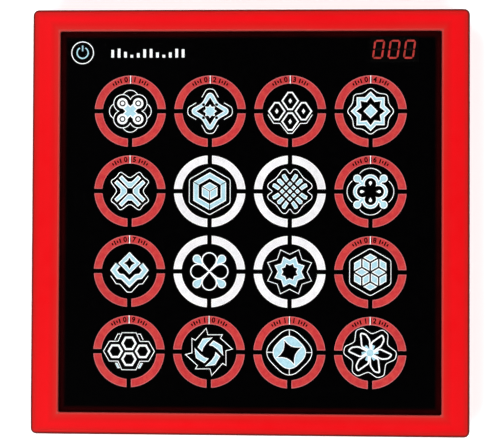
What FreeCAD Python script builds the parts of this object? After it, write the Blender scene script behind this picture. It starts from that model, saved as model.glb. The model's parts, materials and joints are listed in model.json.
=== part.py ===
"""Electronic touch light game: a flat square case with sixteen lit touch circles and a three-digit score.

Millimetres. +Z up, out of the touch face; +Y towards the score display. The origin is under the middle of
the case, on the plane that the four rubber feet stand on. The game comes apart as a bezel frame, with the
clear window, printed film and touch film bonded in it; a white light baffle with the circuit board screwed to
it; and a back cover with the speaker, the battery well and its hinged door, the power switch and the feet.
"""

import FreeCAD
import Part
import math
import os
import Sketcher

Vector = FreeCAD.Vector
Z_AXIS = Vector(0, 0, 1)

# Driving dimensions: alias, value in millimetres (or a count or degrees), what it is.
DIMENSIONS = [
    ("case_width", 203.0, "overall width of the case, along X"),
    ("case_depth", 197.5, "overall depth of the case, along Y"),
    ("corner_radius", 2.8, "upright corner edges of the case"),
    ("top_round", 2.0, "rounding of the bezel's outer top edge"),
    ("aperture_round", 0.7, "rounding of the bezel's inner top edge"),
    ("back_round", 2.5, "rounding of the back cover's outer bottom edge"),
    ("aperture", 177.0, "side of the square window opening in the bezel"),
    ("panel", 181.0, "side of the window and of the films behind it"),
    ("panel_gap", 0.2, "clearance round the window in the bezel"),
    ("board_side", 176.0, "side of the circuit board and the light baffle"),
    ("skirt_wall", 2.2, "wall of the bezel's skirt"),
    ("frame_wall", 1.6, "wall round the window pocket"),
    ("pitch", 37.3, "spacing of the touch circles, both ways"),
    ("grid_drop", 4.4, "how far the middle of the grid lies below the middle of the case"),
    ("ring_outer", 16.65, "outer radius of a lit ring"),
    ("ring_inner", 12.87, "inner radius of a lit ring"),
    ("ring_slot", 2.1, "width of the dark slots that part a ring"),
    ("icon_radius", 9.8, "radius that the printed figures stay inside"),
    ("foot_height", 1.5, "how far the feet stand out of the back"),
    ("back_wall", 2.0, "thickness of the back cover's floor"),
    ("split_height", 9.8, "height of the parting line"),
    ("board_under", 15.8, "height of the circuit board's underside"),
    ("board_thick", 1.2, "thickness of the circuit board"),
    ("baffle_thick", 3.0, "height of the light baffle"),
    ("touch_thick", 0.2, "thickness of the touch film"),
    ("film_thick", 0.25, "thickness of the printed film"),
    ("ink_thick", 0.1, "height of the printed marks"),
    ("window_thick", 1.5, "thickness of the clear window"),
    ("tape_thick", 0.15, "thickness of the bonding tape"),
    ("lip_thick", 1.3, "thickness of the bezel's lip over the window"),
    ("well_x", -4.0, "middle of the battery well, along X"),
    ("well_y", -40.0, "middle of the battery well, along Y"),
    ("well_length", 51.0, "inside length of the battery well"),
    ("well_width", 33.6, "inside width of the battery well"),
    ("well_wall", 1.4, "walls of the battery well"),
    ("well_top", 15.3, "height of the top of the battery well"),
    ("solder_top", 11.7, "height of the top of the slots for the contacts' solder tabs"),
    ("cell_radius", 5.25, "radius of an AAA cell"),
    ("cell_length", 43.6, "length of an AAA cell's can, without its nub"),
    ("cell_pitch", 10.9, "spacing of the three cells"),
    ("door_thick", 1.6, "thickness of the battery door"),
    ("door_gap", 0.3, "clearance round the battery door"),
    ("ear_length", 8.0, "how far the door runs past the well, for its screw"),
    ("tab_width", 4.0, "width of each tab on the battery door"),
    ("speaker_x", -52.0, "middle of the speaker, along X"),
    ("speaker_y", 38.0, "middle of the speaker, along Y"),
    ("speaker_radius", 18.0, "radius of the speaker"),
    ("switch_x", 58.0, "middle of the power switch, along X"),
    ("switch_y", 52.0, "middle of the power switch, along Y"),
    ("switch_travel", 2.0, "travel of the power switch each way from its middle place"),
    ("display_x", 66.7, "middle of the score display, along X"),
    ("display_y", 80.3, "middle of the score display, along Y"),
    ("badge_x", -78.5, "middle of the round printed badge, along X"),
    ("badge_y", 78.9, "middle of the round printed badge, along Y"),
    ("badge_radius", 5.4, "radius of the round printed badge"),
    ("tail_x", 30.0, "middle of the touch film's tail, along X"),
    ("digit_height", 8.8, "height of a score digit"),
    ("digit_width", 5.0, "width of a score digit"),
    ("digit_pitch", 7.15, "spacing of the score digits"),
    ("digit_slant", 8.0, "lean of the score digits, in degrees"),
    ("screw_x", 95.6, "place of the case screws, along X"),
    ("foot_x", 86.0, "place of the feet, along X"),
    ("foot_y", 84.0, "place of the feet, along Y"),
    ("foot_radius", 6.0, "radius of a foot"),
]

CONTACT_THICK = 0.4            # thickness of the battery contacts
GRID = 4                       # touch circles in a row and in a column
CASE_SCREW_ROWS = (-88.0, -30.0, 30.0, 88.0)
GRIPS = 4                      # shallow finger grips across the battery door
# The figure printed in each touch circle, row by row from the top: its points, and inner over outer radius.
FIGURES = [
    (4, 0.62), (4, 0.50), (6, 0.87), (8, 0.80),
    (4, 0.45), (6, 0.866), (8, 0.72), (4, 0.71),
    (4, 0.66), (4, 0.58), (8, 0.62), (6, 0.866),
    (6, 0.90), (8, 0.74), (4, 0.80), (6, 0.55),
]

doc = FreeCAD.newDocument("light_game_pad")
sheet = doc.addObject("Spreadsheet::Sheet", "Dims")
for row, (alias, value, meaning) in enumerate(DIMENSIONS, start=1):
    sheet.set(f"A{row}", meaning)
    sheet.set(f"B{row}", str(value))
    sheet.setAlias(f"B{row}", alias)
doc.recompute()


def dim(alias):
    """A driving dimension's value, read from the sheet."""
    return float(sheet.get(alias))


# Heights of the stack, worked out from the sheet. The same sums stand in the expressions below.
BACK = "Dims.foot_height"
FLOOR = "Dims.foot_height + Dims.back_wall"
BOARD_TOP = "Dims.board_under + Dims.board_thick"
BAFFLE_TOP = f"{BOARD_TOP} + Dims.baffle_thick"
TOUCH_TOP = f"{BAFFLE_TOP} + Dims.touch_thick"
FILM_TOP = f"{TOUCH_TOP} + Dims.film_thick"
INK_TOP = f"{FILM_TOP} + Dims.ink_thick"
WINDOW_TOP = f"{INK_TOP} + Dims.window_thick"
LIP_UNDER = f"{WINDOW_TOP} + Dims.tape_thick"
CASE_TOP = f"{LIP_UNDER} + Dims.lip_thick"


def height(expression):
    """The value of one of the height sums above."""
    return sum(dim(term.strip().removeprefix("Dims.")) for term in expression.split("+"))


# ---------------------------------------------------------------- building blocks


def new_body(label):
    """A PartDesign body that may hold several separate solids."""
    body = doc.addObject("PartDesign::Body", label)
    body.Label = label
    body.AllowCompound = True
    return body


def new_sketch(body, name, level):
    """A sketch on the body's XY plane, raised to the height that the expression gives."""
    sketch = body.newObject("Sketcher::SketchObject", name)
    base = next(f for f in body.Origin.OriginFeatures if f.Role == "XY_Plane")
    sketch.AttachmentSupport = (base, [""])
    sketch.MapMode = "FlatFace"
    sketch.setExpression("AttachmentOffset.Base.z", str(level))
    return sketch


def name_distance(sketch, kind, places, label, expression):
    """Adds a distance constraint between points, names it and binds it to an expression."""
    index = sketch.addConstraint(Sketcher.Constraint(kind, *places, 5.0))
    sketch.renameConstraint(index, label)
    sketch.setExpression(f"Constraints.{label}", expression)


def add_rectangle(sketch, label, width, depth, right=None, back=None):
    """Adds a rectangle bound to expressions. Right and back are where its +X and +Y sides lie."""
    first = sketch.GeometryCount
    corners = [Vector(-9, -9, 0), Vector(9, -9, 0), Vector(9, 9, 0), Vector(-9, 9, 0)]
    for i in range(4):
        sketch.addGeometry(Part.LineSegment(corners[i], corners[(i + 1) % 4]))
    for i in range(4):
        sketch.addConstraint(Sketcher.Constraint("Coincident", first + i, 2, first + (i + 1) % 4, 1))
    for i in (0, 2):
        sketch.addConstraint(Sketcher.Constraint("Horizontal", first + i))
        sketch.addConstraint(Sketcher.Constraint("Vertical", first + i + 1))
    name_distance(sketch, "DistanceX", (first, 1, first, 2), f"{label}_width", width)
    name_distance(sketch, "DistanceY", (first + 1, 1, first + 1, 2), f"{label}_depth", depth)
    name_distance(sketch, "DistanceX", (-1, 1, first, 2), f"{label}_right", right or f"({width}) / 2")
    name_distance(sketch, "DistanceY", (-1, 1, first + 2, 1), f"{label}_back", back or f"({depth}) / 2")


def add_circle(sketch, label, radius, x=0.0, y=0.0):
    """Adds a circle with its radius bound to an expression, and its centre fixed at x, y."""
    index = sketch.addGeometry(Part.Circle(Vector(x, y, 0), Z_AXIS, 3.0))
    bound = sketch.addConstraint(Sketcher.Constraint("Radius", index, 3.0))
    sketch.renameConstraint(bound, label)
    sketch.setExpression(f"Constraints.{label}", radius)
    sketch.addConstraint(Sketcher.Constraint("DistanceX", -1, 1, index, 3, x))
    sketch.addConstraint(Sketcher.Constraint("DistanceY", -1, 1, index, 3, y))


def add_outline(sketch, label, corners):
    """Adds a closed straight-sided outline. Each corner is a pair of expressions, bound from the origin."""
    first = sketch.GeometryCount
    count = len(corners)
    turns = [math.tau * i / count for i in range(count)]
    guess = [Vector(5 * math.cos(turn), 5 * math.sin(turn), 0) for turn in turns]
    for i in range(count):
        sketch.addGeometry(Part.LineSegment(guess[i], guess[(i + 1) % count]))
    for i in range(count):
        sketch.addConstraint(Sketcher.Constraint("Coincident", first + i, 2, first + (i + 1) % count, 1))
    for i, (across, up) in enumerate(corners):
        name_distance(sketch, "DistanceX", (-1, 1, first + i, 1), f"{label}_x{i}", str(across))
        name_distance(sketch, "DistanceY", (-1, 1, first + i, 1), f"{label}_y{i}", str(up))


def turned(label, corners, axis="V_Axis"):
    """A body turned about an axis of its XZ plane from an outline whose corners are pairs of expressions."""
    body = new_body(label)
    sketch = body.newObject("Sketcher::SketchObject", f"{label}_profile")
    base = next(f for f in body.Origin.OriginFeatures if f.Role == "XZ_Plane")
    sketch.AttachmentSupport = (base, [""])
    sketch.MapMode = "FlatFace"
    add_outline(sketch, "profile", corners)
    turn = body.newObject("PartDesign::Revolution", f"{label}_turn")
    turn.Profile = sketch
    turn.ReferenceAxis = (sketch, [axis])
    turn.Angle = 360.0
    doc.recompute()
    return body


def stand_at(thing, x, y, z="0"):
    """Binds the position of a document object to expressions."""
    for axis, expression in zip("xyz", (x, y, z)):
        thing.setExpression(f"Placement.Base.{axis}", str(expression))
    doc.recompute()


def pad(body, name, sketch, length):
    """Pads the sketch upwards."""
    feature = body.newObject("PartDesign::Pad", name)
    feature.Profile = sketch
    feature.setExpression("Length", str(length))
    doc.recompute()
    return feature


def pocket(body, name, sketch, length, upwards=False):
    """Cuts the sketch out of the body, downwards unless told otherwise, and checks that it cut something."""
    before = body.Shape.Volume
    feature = body.newObject("PartDesign::Pocket", name)
    feature.Profile = sketch
    feature.setExpression("Length", str(length))
    feature.Reversed = upwards
    doc.recompute()
    if body.Shape.Volume > before - 1e-3:
        raise RuntimeError(f"pocket {name} cut nothing")
    return feature


def fillet(body, name, radius, wanted):
    """Rounds the edges of the body's tip for which wanted(edge) is true."""
    tip = body.Tip
    names = [f"Edge{i + 1}" for i, edge in enumerate(tip.Shape.Edges) if wanted(edge)]
    if not names:
        raise RuntimeError(f"fillet {name} found no edge")
    feature = body.newObject("PartDesign::Fillet", name)
    feature.Base = (tip, names)
    feature.setExpression("Radius", radius)
    doc.recompute()
    return feature


def upright(edge):
    """True for a straight edge along Z."""
    box = edge.BoundBox
    return box.XLength < 1e-6 and box.YLength < 1e-6


def flat_at(level):
    """A test for edges that lie in the level plane."""
    return lambda edge: edge.BoundBox.ZLength < 1e-6 and abs(edge.BoundBox.ZMin - level) < 1e-6


def plain_box(label, size, corner):
    """A Part box with its size and lowest corner bound to expressions."""
    box = doc.addObject("Part::Box", label)
    box.Label = label
    for side, expression in zip(("Length", "Width", "Height"), size):
        box.setExpression(side, str(expression))
    for axis, expression in zip("xyz", corner):
        box.setExpression(f"Placement.Base.{axis}", str(expression))
    return box


def cut(label, base, tool):
    """Base less tool, as a document object."""
    result = doc.addObject("Part::Cut", label)
    result.Label = label
    result.Base = base
    result.Tool = tool
    return result


def fused(label, *shapes):
    """Several document objects as one."""
    result = doc.addObject("Part::MultiFuse", label)
    result.Label = label
    result.Shapes = list(shapes)
    return result


def from_shape(label, shape):
    """A Part feature that holds a shape worked out here from the sheet's values."""
    feature = doc.addObject("Part::Feature", label)
    feature.Label = label
    feature.Shape = shape
    return feature


def prism(points, low, high):
    """A straight-sided solid over the closed outline through the points, between two heights."""
    corners = [Vector(x, y, low) for x, y in points]
    outline = Part.makePolygon(corners + corners[:1])
    return Part.Face(outline).extrude(Vector(0, 0, high - low))


def tube(inner, outer, low, high):
    """A round tube about Z between two heights."""
    ring = Part.makeCylinder(outer, high - low, Vector(0, 0, low))
    return ring.cut(Part.makeCylinder(inner, high - low, Vector(0, 0, low)))


def block(x0, x1, y0, y1, z0, z1):
    """A box between two corners."""
    return Part.makeBox(x1 - x0, y1 - y0, z1 - z0, Vector(x0, y0, z0))


def moved(shape, x, y, z=0.0):
    """A copy of the shape, moved."""
    return shape.translated(Vector(x, y, z))


def lead(points, bend, radius):
    """A round wire: straight runs through the points, joined by tangent arcs of radius bend."""
    stops = [Vector(*p) for p in points]
    edges = []
    start = stops[0]
    for before, corner, after in zip(stops, stops[1:], stops[2:]):
        incoming = (corner - before).normalize()
        outgoing = (after - corner).normalize()
        turn = incoming.getAngle(outgoing)
        reach = bend * math.tan(turn / 2)
        enter = corner - incoming * reach
        leave = corner + outgoing * reach
        inward = (outgoing - incoming).normalize()
        middle = corner + inward * (bend / math.cos(turn / 2) - bend)
        edges.append(Part.LineSegment(start, enter).toShape())
        edges.append(Part.Arc(enter, middle, leave).toShape())
        start = leave
    edges.append(Part.LineSegment(start, stops[-1]).toShape())
    path = Part.Wire(edges)
    direction = (stops[1] - stops[0]).normalize()
    section = Part.Wire(Part.makeCircle(radius, stops[0], direction))
    return path.makePipeShell([section], True, True)


def cell_centres():
    """The centre of each touch circle, row by row from the top left."""
    half = (GRID - 1) / 2
    pitch = dim("pitch")
    for row in range(GRID):
        for column in range(GRID):
            yield row, column, (column - half) * pitch, (half - row) * pitch - dim("grid_drop")


def is_inner(row, column):
    """True for the four middle circles, whose rings are white."""
    return row in (1, 2) and column in (1, 2)


def ring_sectors(low, high, inner, outer, split_top, slot_width):
    """The pieces of one ring: quarters parted by slots, with the top two joined unless split_top."""
    slot = slot_width / 2
    reach = outer + 1
    ring = tube(inner, outer, low, high)
    gaps = [block(-reach, reach, -slot, slot, low, high), block(-slot, slot, -reach, 0, low, high)]
    if split_top:
        gaps.append(block(-slot, slot, 0, reach, low, high))
    return ring.cut(Part.makeCompound(gaps)).Solids


# ---------------------------------------------------------------- bezel, window and films


def make_front_bezel():
    """The moulded frame: a lip over the window's edge, a skirt, a wall round the window, and screw bosses."""
    body = new_body("front_bezel")
    outline = new_sketch(body, "bezel_outline", "Dims.split_height + 0.2")
    add_rectangle(outline, "case", "Dims.case_width", "Dims.case_depth")
    pad(body, "bezel_block", outline, f"{CASE_TOP} - Dims.split_height - 0.2")
    fillet(body, "bezel_corners", "Dims.corner_radius", upright)
    fillet(body, "bezel_top_round", "Dims.top_round", flat_at(height(CASE_TOP)))

    opening = new_sketch(body, "bezel_opening", CASE_TOP)
    add_rectangle(opening, "aperture", "Dims.aperture", "Dims.aperture")
    pocket(body, "bezel_aperture", opening, CASE_TOP)
    half = dim("aperture") / 2 + 1e-3
    fillet(
        body, "aperture_corners", "1.0",
        lambda e: upright(e) and abs(e.BoundBox.XMin) < half and abs(e.BoundBox.YMin) < half,
    )
    top = flat_at(height(CASE_TOP))
    fillet(
        body, "aperture_rounding", "Dims.aperture_round",
        lambda e: top(e) and e.BoundBox.XMax < half and e.BoundBox.XMin > -half
        and e.BoundBox.YMax < half and e.BoundBox.YMin > -half,
    )

    seat = new_sketch(body, "window_seat", LIP_UNDER)
    add_rectangle(seat, "seat", "Dims.panel + 2 * Dims.panel_gap", "Dims.panel + 2 * Dims.panel_gap")
    pocket(body, "window_pocket", seat, LIP_UNDER)

    channel = new_sketch(body, "channel_outline", f"{CASE_TOP} - Dims.top_round")
    add_rectangle(
        channel, "outer", "Dims.case_width - 2 * Dims.skirt_wall", "Dims.case_depth - 2 * Dims.skirt_wall"
    )
    inner_side = "Dims.panel + 2 * Dims.panel_gap + 2 * Dims.frame_wall"
    add_rectangle(channel, "inner", inner_side, inner_side)
    pocket(body, "channel", channel, CASE_TOP)

    bosses = new_sketch(body, "boss_outline", "Dims.split_height + 0.3")
    for i, (x, y) in enumerate(case_screw_places()):
        add_circle(bosses, f"boss_{i}", "2.4", x, y)
    pad(body, "bosses", bosses, f"{CASE_TOP} - Dims.top_round - Dims.split_height - 0.3")
    pilots = new_sketch(body, "pilot_outline", "Dims.split_height")
    for i, (x, y) in enumerate(case_screw_places()):
        add_circle(pilots, f"pilot_{i}", "1.35", x, y)
    pocket(body, "pilots", pilots, f"{CASE_TOP} - Dims.split_height - 4", upwards=True)
    return body


def case_screw_places():
    """Where the eight case screws stand."""
    return [(side * dim("screw_x"), y) for side in (-1, 1) for y in CASE_SCREW_ROWS]


def display_opening(label, low, high, margin):
    """A box through a film at the score display."""
    width, depth = 22.4 + 2 * margin, 12.0 + 2 * margin
    corner = (f"Dims.display_x - {width / 2}", f"Dims.display_y - {depth / 2}", low)
    return plain_box(label, (width, depth, f"{high} - ({low})"), corner)


def sheet_blank(label, side, low, high):
    """A square sheet centred on the case, between two heights."""
    corner = f"-({side}) / 2"
    return plain_box(label, (side, side, f"{high} - ({low})"), (corner, corner, low))


def make_window_stack():
    """The clear window, its bonding tape, the printed film with the ring windows, and the touch film."""
    sheet_blank("touch_window", "Dims.panel", INK_TOP, WINDOW_TOP)

    tape_outer = sheet_blank("tape_blank", "Dims.panel", WINDOW_TOP, LIP_UNDER)
    tape_inner = sheet_blank("tape_opening", "Dims.aperture + 0.6", WINDOW_TOP, LIP_UNDER)
    cut("window_tape", tape_outer, tape_inner)

    low, high = height(TOUCH_TOP), height(FILM_TOP)
    red, white = [], []
    for row, column, x, y in cell_centres():
        inner = is_inner(row, column)
        pieces = ring_sectors(low, high, dim("ring_inner"), dim("ring_outer"), inner, dim("ring_slot"))
        (white if inner else red).extend(moved(piece, x, y) for piece in pieces)
    ring_red = from_shape("ring_windows_red", Part.makeCompound(red))
    ring_white = from_shape("ring_windows_white", Part.makeCompound(white))

    film = sheet_blank("film_blank", "Dims.panel", TOUCH_TOP, FILM_TOP)
    score_opening = display_opening("film_display", TOUCH_TOP, FILM_TOP, 0)
    openings = fused("film_openings", ring_red, ring_white, score_opening)
    cut("graphic_film", film, openings)

    touch = sheet_blank("touch_blank", "Dims.panel", BAFFLE_TOP, TOUCH_TOP)
    cut("touch_film", touch, display_opening("touch_display", BAFFLE_TOP, TOUCH_TOP, 1.0))


def star(points, outer, ratio, turn=0.0):
    """The corners of a star or, with a ratio of cos(180 degrees / points), of a regular polygon."""
    corners = []
    for i in range(2 * points):
        radius = outer if i % 2 == 0 else outer * ratio
        angle = math.radians(90 + turn) + i * math.pi / points
        corners.append((radius * math.cos(angle), radius * math.sin(angle)))
    return corners


def make_printed_marks():
    """What is printed on the film: a figure in each circle, a pointer on each red ring, the header marks."""
    low, high = height(FILM_TOP), height(INK_TOP)
    outline_width = 1.0
    figures, pointers = [], []
    for (row, column, x, y), (points, ratio) in zip(cell_centres(), FIGURES):
        outer = dim("icon_radius")
        rim = prism(star(points, outer, ratio), low, high)
        rim = rim.cut(prism(star(points, outer - outline_width, ratio), low, high))
        core = prism(star(points, outer * 0.55, ratio), low, high)
        figures += [moved(rim, x, y), moved(core, x, y)]
        if not is_inner(row, column):
            mark = block(-0.25, 0.25, dim("ring_inner"), dim("ring_outer"), low, high)
            pointers.append(moved(mark, x, y))
    from_shape("circle_figures", Part.makeCompound(figures))
    from_shape("ring_pointers", Part.makeCompound(pointers))

    badge_x, badge_y, badge_radius = dim("badge_x"), dim("badge_y"), dim("badge_radius")
    badge = [tube(badge_radius - 0.5, badge_radius, low, high), tube(2.1, 3.0, low, high)]
    marks = [moved(piece, badge_x, badge_y) for piece in badge]
    bars, bar_pitch, bar_width, first_bar, bar_foot = 12, 3.0, 1.3, badge_x + 13.5, badge_y - 2.3
    for i in range(bars):
        x = first_bar + i * bar_pitch
        tall = 1.6 + 3.0 * i / (bars - 1)
        marks.append(block(x, x + bar_width, bar_foot, bar_foot + tall, low, high))
    from_shape("header_marks", Part.makeCompound(marks))


# ---------------------------------------------------------------- light baffle and circuit board


def make_light_baffle():
    """A white plate with a round chamber under each figure and a chamber under each piece of ring."""
    low, high = height(BOARD_TOP), height(BAFFLE_TOP)
    chambers = []
    for row, column, x, y in cell_centres():
        parts = [Part.makeCylinder(dim("ring_inner") - 1.0, high - low, Vector(0, 0, low))]
        parts += ring_sectors(low, high, dim("ring_inner"), dim("ring_outer") + 0.2, True, dim("ring_slot"))
        chambers += [moved(piece, x, y) for piece in parts]
    tools = from_shape("chambers", Part.makeCompound(chambers))
    blank = sheet_blank("baffle_blank", "Dims.board_side", BOARD_TOP, BAFFLE_TOP)
    openings = fused("baffle_openings", tools, display_opening("baffle_display", BOARD_TOP, BAFFLE_TOP, 1.4))
    pilots = [Part.makeCylinder(0.95, 2.4, Vector(x, y, low)) for x, y in board_screw_places()]
    holes = from_shape("baffle_pilots", Part.makeCompound(pilots))
    cut("light_baffle", cut("baffle_cells", blank, openings), holes)


def board_screw_places():
    """Where the six board screws stand, in the corners between touch circles."""
    pitch, drop = dim("pitch"), dim("grid_drop")
    return [(side * pitch, row * pitch - drop) for side in (-1, 1) for row in (-1, 0, 1)]


def gridded(label, cell, level):
    """A body whose first features are built by cell(body) at one touch circle, repeated at all sixteen."""
    body = new_body(label)
    feature, sketch, rings = cell(body)
    grid = body.newObject("PartDesign::MultiTransform", f"{label}_grid")
    grid.Originals = [feature]
    steps = []
    if rings > 1:
        around = body.newObject("PartDesign::PolarPattern", f"{label}_around")
        around.Axis = (sketch, ["N_Axis"])
        around.Occurrences = rings
        steps.append(around)
    for axis in ("H_Axis", "V_Axis"):
        line = body.newObject("PartDesign::LinearPattern", f"{label}_{axis}")
        line.Direction = (sketch, [axis])
        line.Mode = "Spacing"
        line.Occurrences = GRID
        line.setExpression("Offset", "Dims.pitch")
        steps.append(line)
    grid.Transformations = steps
    body.Tip = grid
    body.setExpression("Placement.Base.x", f"-{(GRID - 1) / 2} * Dims.pitch")
    body.setExpression("Placement.Base.y", f"-{(GRID - 1) / 2} * Dims.pitch - Dims.grid_drop")
    body.setExpression("Placement.Base.z", level)
    doc.recompute()
    return body


def ring_led(body):
    """A chip lamp in the ring chamber, on the diagonal: four of these stand under every ring."""
    sketch = new_sketch(body, "ring_led_outline", "0")
    offset = "(Dims.ring_inner + Dims.ring_outer) / 2 * 0.7071"
    add_rectangle(sketch, "led", "2", "2", f"{offset} + 1", f"{offset} + 1")
    return pad(body, "ring_led", sketch, "0.9"), sketch, 4


def figure_led(body):
    """A chip lamp under the middle of a figure."""
    sketch = new_sketch(body, "figure_led_outline", "0")
    add_rectangle(sketch, "led", "3.5", "2.8")
    return pad(body, "figure_led", sketch, "1.1"), sketch, 1


def figure_diffuser(body):
    """A milky disc at the top of the round chamber under a figure."""
    sketch = new_sketch(body, "diffuser_outline", "-0.8")
    add_circle(sketch, "disc", "Dims.ring_inner - 1.1")
    return pad(body, "diffuser", sketch, "0.8"), sketch, 1


def make_light_guides():
    """Milky pieces that fill the top of the ring chambers and spread the lamps' light."""
    low, high = height(BAFFLE_TOP) - 1.6, height(BAFFLE_TOP)
    inner, outer, slot = dim("ring_inner") + 0.1, dim("ring_outer") + 0.1, dim("ring_slot") + 0.2
    guides = []
    for row, column, x, y in cell_centres():
        guides += [moved(piece, x, y) for piece in ring_sectors(low, high, inner, outer, True, slot)]
    from_shape("ring_light_guides", Part.makeCompound(guides))


def make_main_board():
    """The circuit board, with holes for its six screws."""
    body = new_body("main_board")
    outline = new_sketch(body, "board_outline", "Dims.board_under")
    add_rectangle(outline, "board", "Dims.board_side", "Dims.board_side")
    pad(body, "board", outline, "Dims.board_thick")
    holes = new_sketch(body, "board_holes", BOARD_TOP)
    for i, (x, y) in enumerate(board_screw_places()):
        add_circle(holes, f"hole_{i}", "1.15", x, y)
    pocket(body, "board_drilling", holes, "Dims.board_thick")
    fillet(body, "board_corners", "2.0", upright_corner_of(dim("board_side") / 2))


def upright_corner_of(half):
    """A test for the upright edges at the corners of a square of that half side."""
    return lambda e: upright(e) and abs(abs(e.BoundBox.XMin) - half) < 1e-3


def make_screw(label, places, head_radius, head_height, shank_radius, shank_length, seat):
    """Cross-head screws, heads down, with the head's seat at the given height and the shank above it."""
    head = Part.makeCylinder(head_radius, head_height, Vector(0, 0, seat - head_height))
    rounded = head.makeFillet(head_height * 0.35, [
        e for e in head.Edges if flat_at(seat - head_height)(e)
    ])
    shank = Part.makeCylinder(shank_radius, shank_length - shank_radius, Vector(0, 0, seat))
    shoulder = Vector(0, 0, seat + shank_length - shank_radius)
    point = Part.makeCone(shank_radius, shank_radius * 0.4, shank_radius, shoulder)
    screw = rounded.fuse([shank, point]).removeSplitter()
    arm, width, depth = head_radius * 0.6, head_radius * 0.2, head_height * 0.55
    base = seat - head_height
    cross = block(-arm, arm, -width, width, base, base + depth)
    cross = cross.fuse(block(-width, width, -arm, arm, base, base + depth))
    screw = screw.cut(cross)
    return from_shape(label, Part.makeCompound([moved(screw, x, y) for x, y in places]))


def make_board_parts():
    """What is soldered under the board: controller, capacitors, crystal and the touch film's connector."""
    under = dim("board_under")
    chip_y, chip_side, chip_high = 46.0, 10.0, 1.4
    corner = (-chip_side / 2, chip_y - chip_side / 2, f"Dims.board_under - {chip_high}")
    chip = plain_box("chip_block", (chip_side, chip_side, chip_high), corner)
    doc.recompute()
    lower = [i + 1 for i, e in enumerate(chip.Shape.Edges) if flat_at(under - chip_high)(e)]
    bevelled = doc.addObject("Part::Chamfer", "controller_chip")
    bevelled.Label = "controller_chip"
    bevelled.Base = chip
    bevelled.Edges = [(i, 0.25, 0.25) for i in lower]

    legs = []
    for i in range(11):
        offset = -4.0 + 0.8 * i
        for side in (-1, 1):
            across = block(side * 6 - 1, side * 6 + 1, offset - 0.15, offset + 0.15, under - 0.3, under)
            along = block(offset - 0.15, offset + 0.15, side * 6 - 1, side * 6 + 1, under - 0.3, under)
            legs += [moved(across, 0, chip_y), moved(along, 0, chip_y)]
    from_shape("chip_legs", Part.makeCompound(legs))

    cans = new_body("capacitors")
    outline = new_sketch(cans, "capacitor_outline", "Dims.board_under - 7.0")
    for i, x in enumerate((24.0, 33.0)):
        add_circle(outline, f"capacitor_{i}", "3.0", x, 36.0)
    pad(cans, "capacitor_cans", outline, "7.0")
    fillet(cans, "capacitor_rims", "0.5", flat_at(under - 7.0))

    crystal = block(10.0, 21.0, 55.0, 59.0, under - 3.4, under)
    crystal = crystal.makeFillet(1.9, [e for e in crystal.Edges if upright(e)])
    chips = [block(-20 + 4 * i, -18 + 4 * i, 60, 61.2, under - 0.6, under) for i in range(6)]
    from_shape("crystal_and_resistors", Part.makeCompound([crystal] + chips))

    shell_corner = ("Dims.tail_x - 11", -84.0, "Dims.board_under - 2.2")
    slot_corner = ("Dims.tail_x - 10.1", -84.0, "Dims.board_under - 1.5")
    shell = plain_box("connector_shell", (22.0, 4.0, 2.2), shell_corner)
    slot = plain_box("connector_slot", (20.2, 3.0, 0.4), slot_corner)
    cut("touch_connector", shell, slot)


def make_touch_tail():
    """The touch film's flat tail: down past the board's edge and back into the connector under it."""
    front, thick, width = -89.4, 0.15, 20.0
    entry = "Dims.board_under - 1.38"
    corner = (f"Dims.tail_x - {width / 2}", front, entry)
    drop = plain_box("tail_drop", (width, thick, f"{BAFFLE_TOP} - ({entry})"), corner)
    reach = plain_box("tail_reach", (width, -81.2 - front, thick), corner)
    fused("touch_tail", drop, reach)


# ---------------------------------------------------------------- score display


def make_display():
    """A flat three-digit display on the board, seen through the film's opening, showing three noughts."""
    base, face = height(BOARD_TOP), height(TOUCH_TOP)
    x, y = dim("display_x"), dim("display_y")
    shell = block(x - 12, x + 12, y - 6.6, y + 6.6, base, face)
    from_shape("display_body", shell.makeFillet(0.6, [e for e in shell.Edges if upright(e)]))

    tall, wide, stroke, gap = dim("digit_height"), dim("digit_width"), 0.85, 0.16
    lean = math.tan(math.radians(dim("digit_slant")))
    low, high = face, face + 0.1
    side_x, half = wide / 2 - stroke / 2, tall / 2

    def bar(x0, y0, x1, y1):
        """A pointed segment between two places on a digit's centre lines, leaned over."""
        length = math.hypot(x1 - x0, y1 - y0)
        ux, uy = (x1 - x0) / length, (y1 - y0) / length
        near, far, wing = gap, length - gap, stroke / 2
        upper = [(near, 0), (near + wing, wing), (far - wing, wing), (far, 0)]
        lower = [(far - wing, -wing), (near + wing, -wing)]
        points = [(x0 + a * ux - b * uy, y0 + a * uy + b * ux) for a, b in upper + lower]
        return prism([(px + py * lean, py) for px, py in points], low, high)

    top_y = half - stroke / 2
    lit = [
        (-side_x, top_y, side_x, top_y), (-side_x, -top_y, side_x, -top_y),
        (-side_x, 0, -side_x, top_y), (side_x, 0, side_x, top_y),
        (-side_x, -top_y, -side_x, 0), (side_x, -top_y, side_x, 0),
    ]
    places = [x + i * dim("digit_pitch") for i in (-1, 0, 1)]
    from_shape("lit_segments", Part.makeCompound([moved(bar(*b), px, y) for px in places for b in lit]))
    dark = bar(-side_x, 0, side_x, 0)
    from_shape("dark_segments", Part.makeCompound([moved(dark, px, y) for px in places]))


# ---------------------------------------------------------------- back cover


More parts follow.
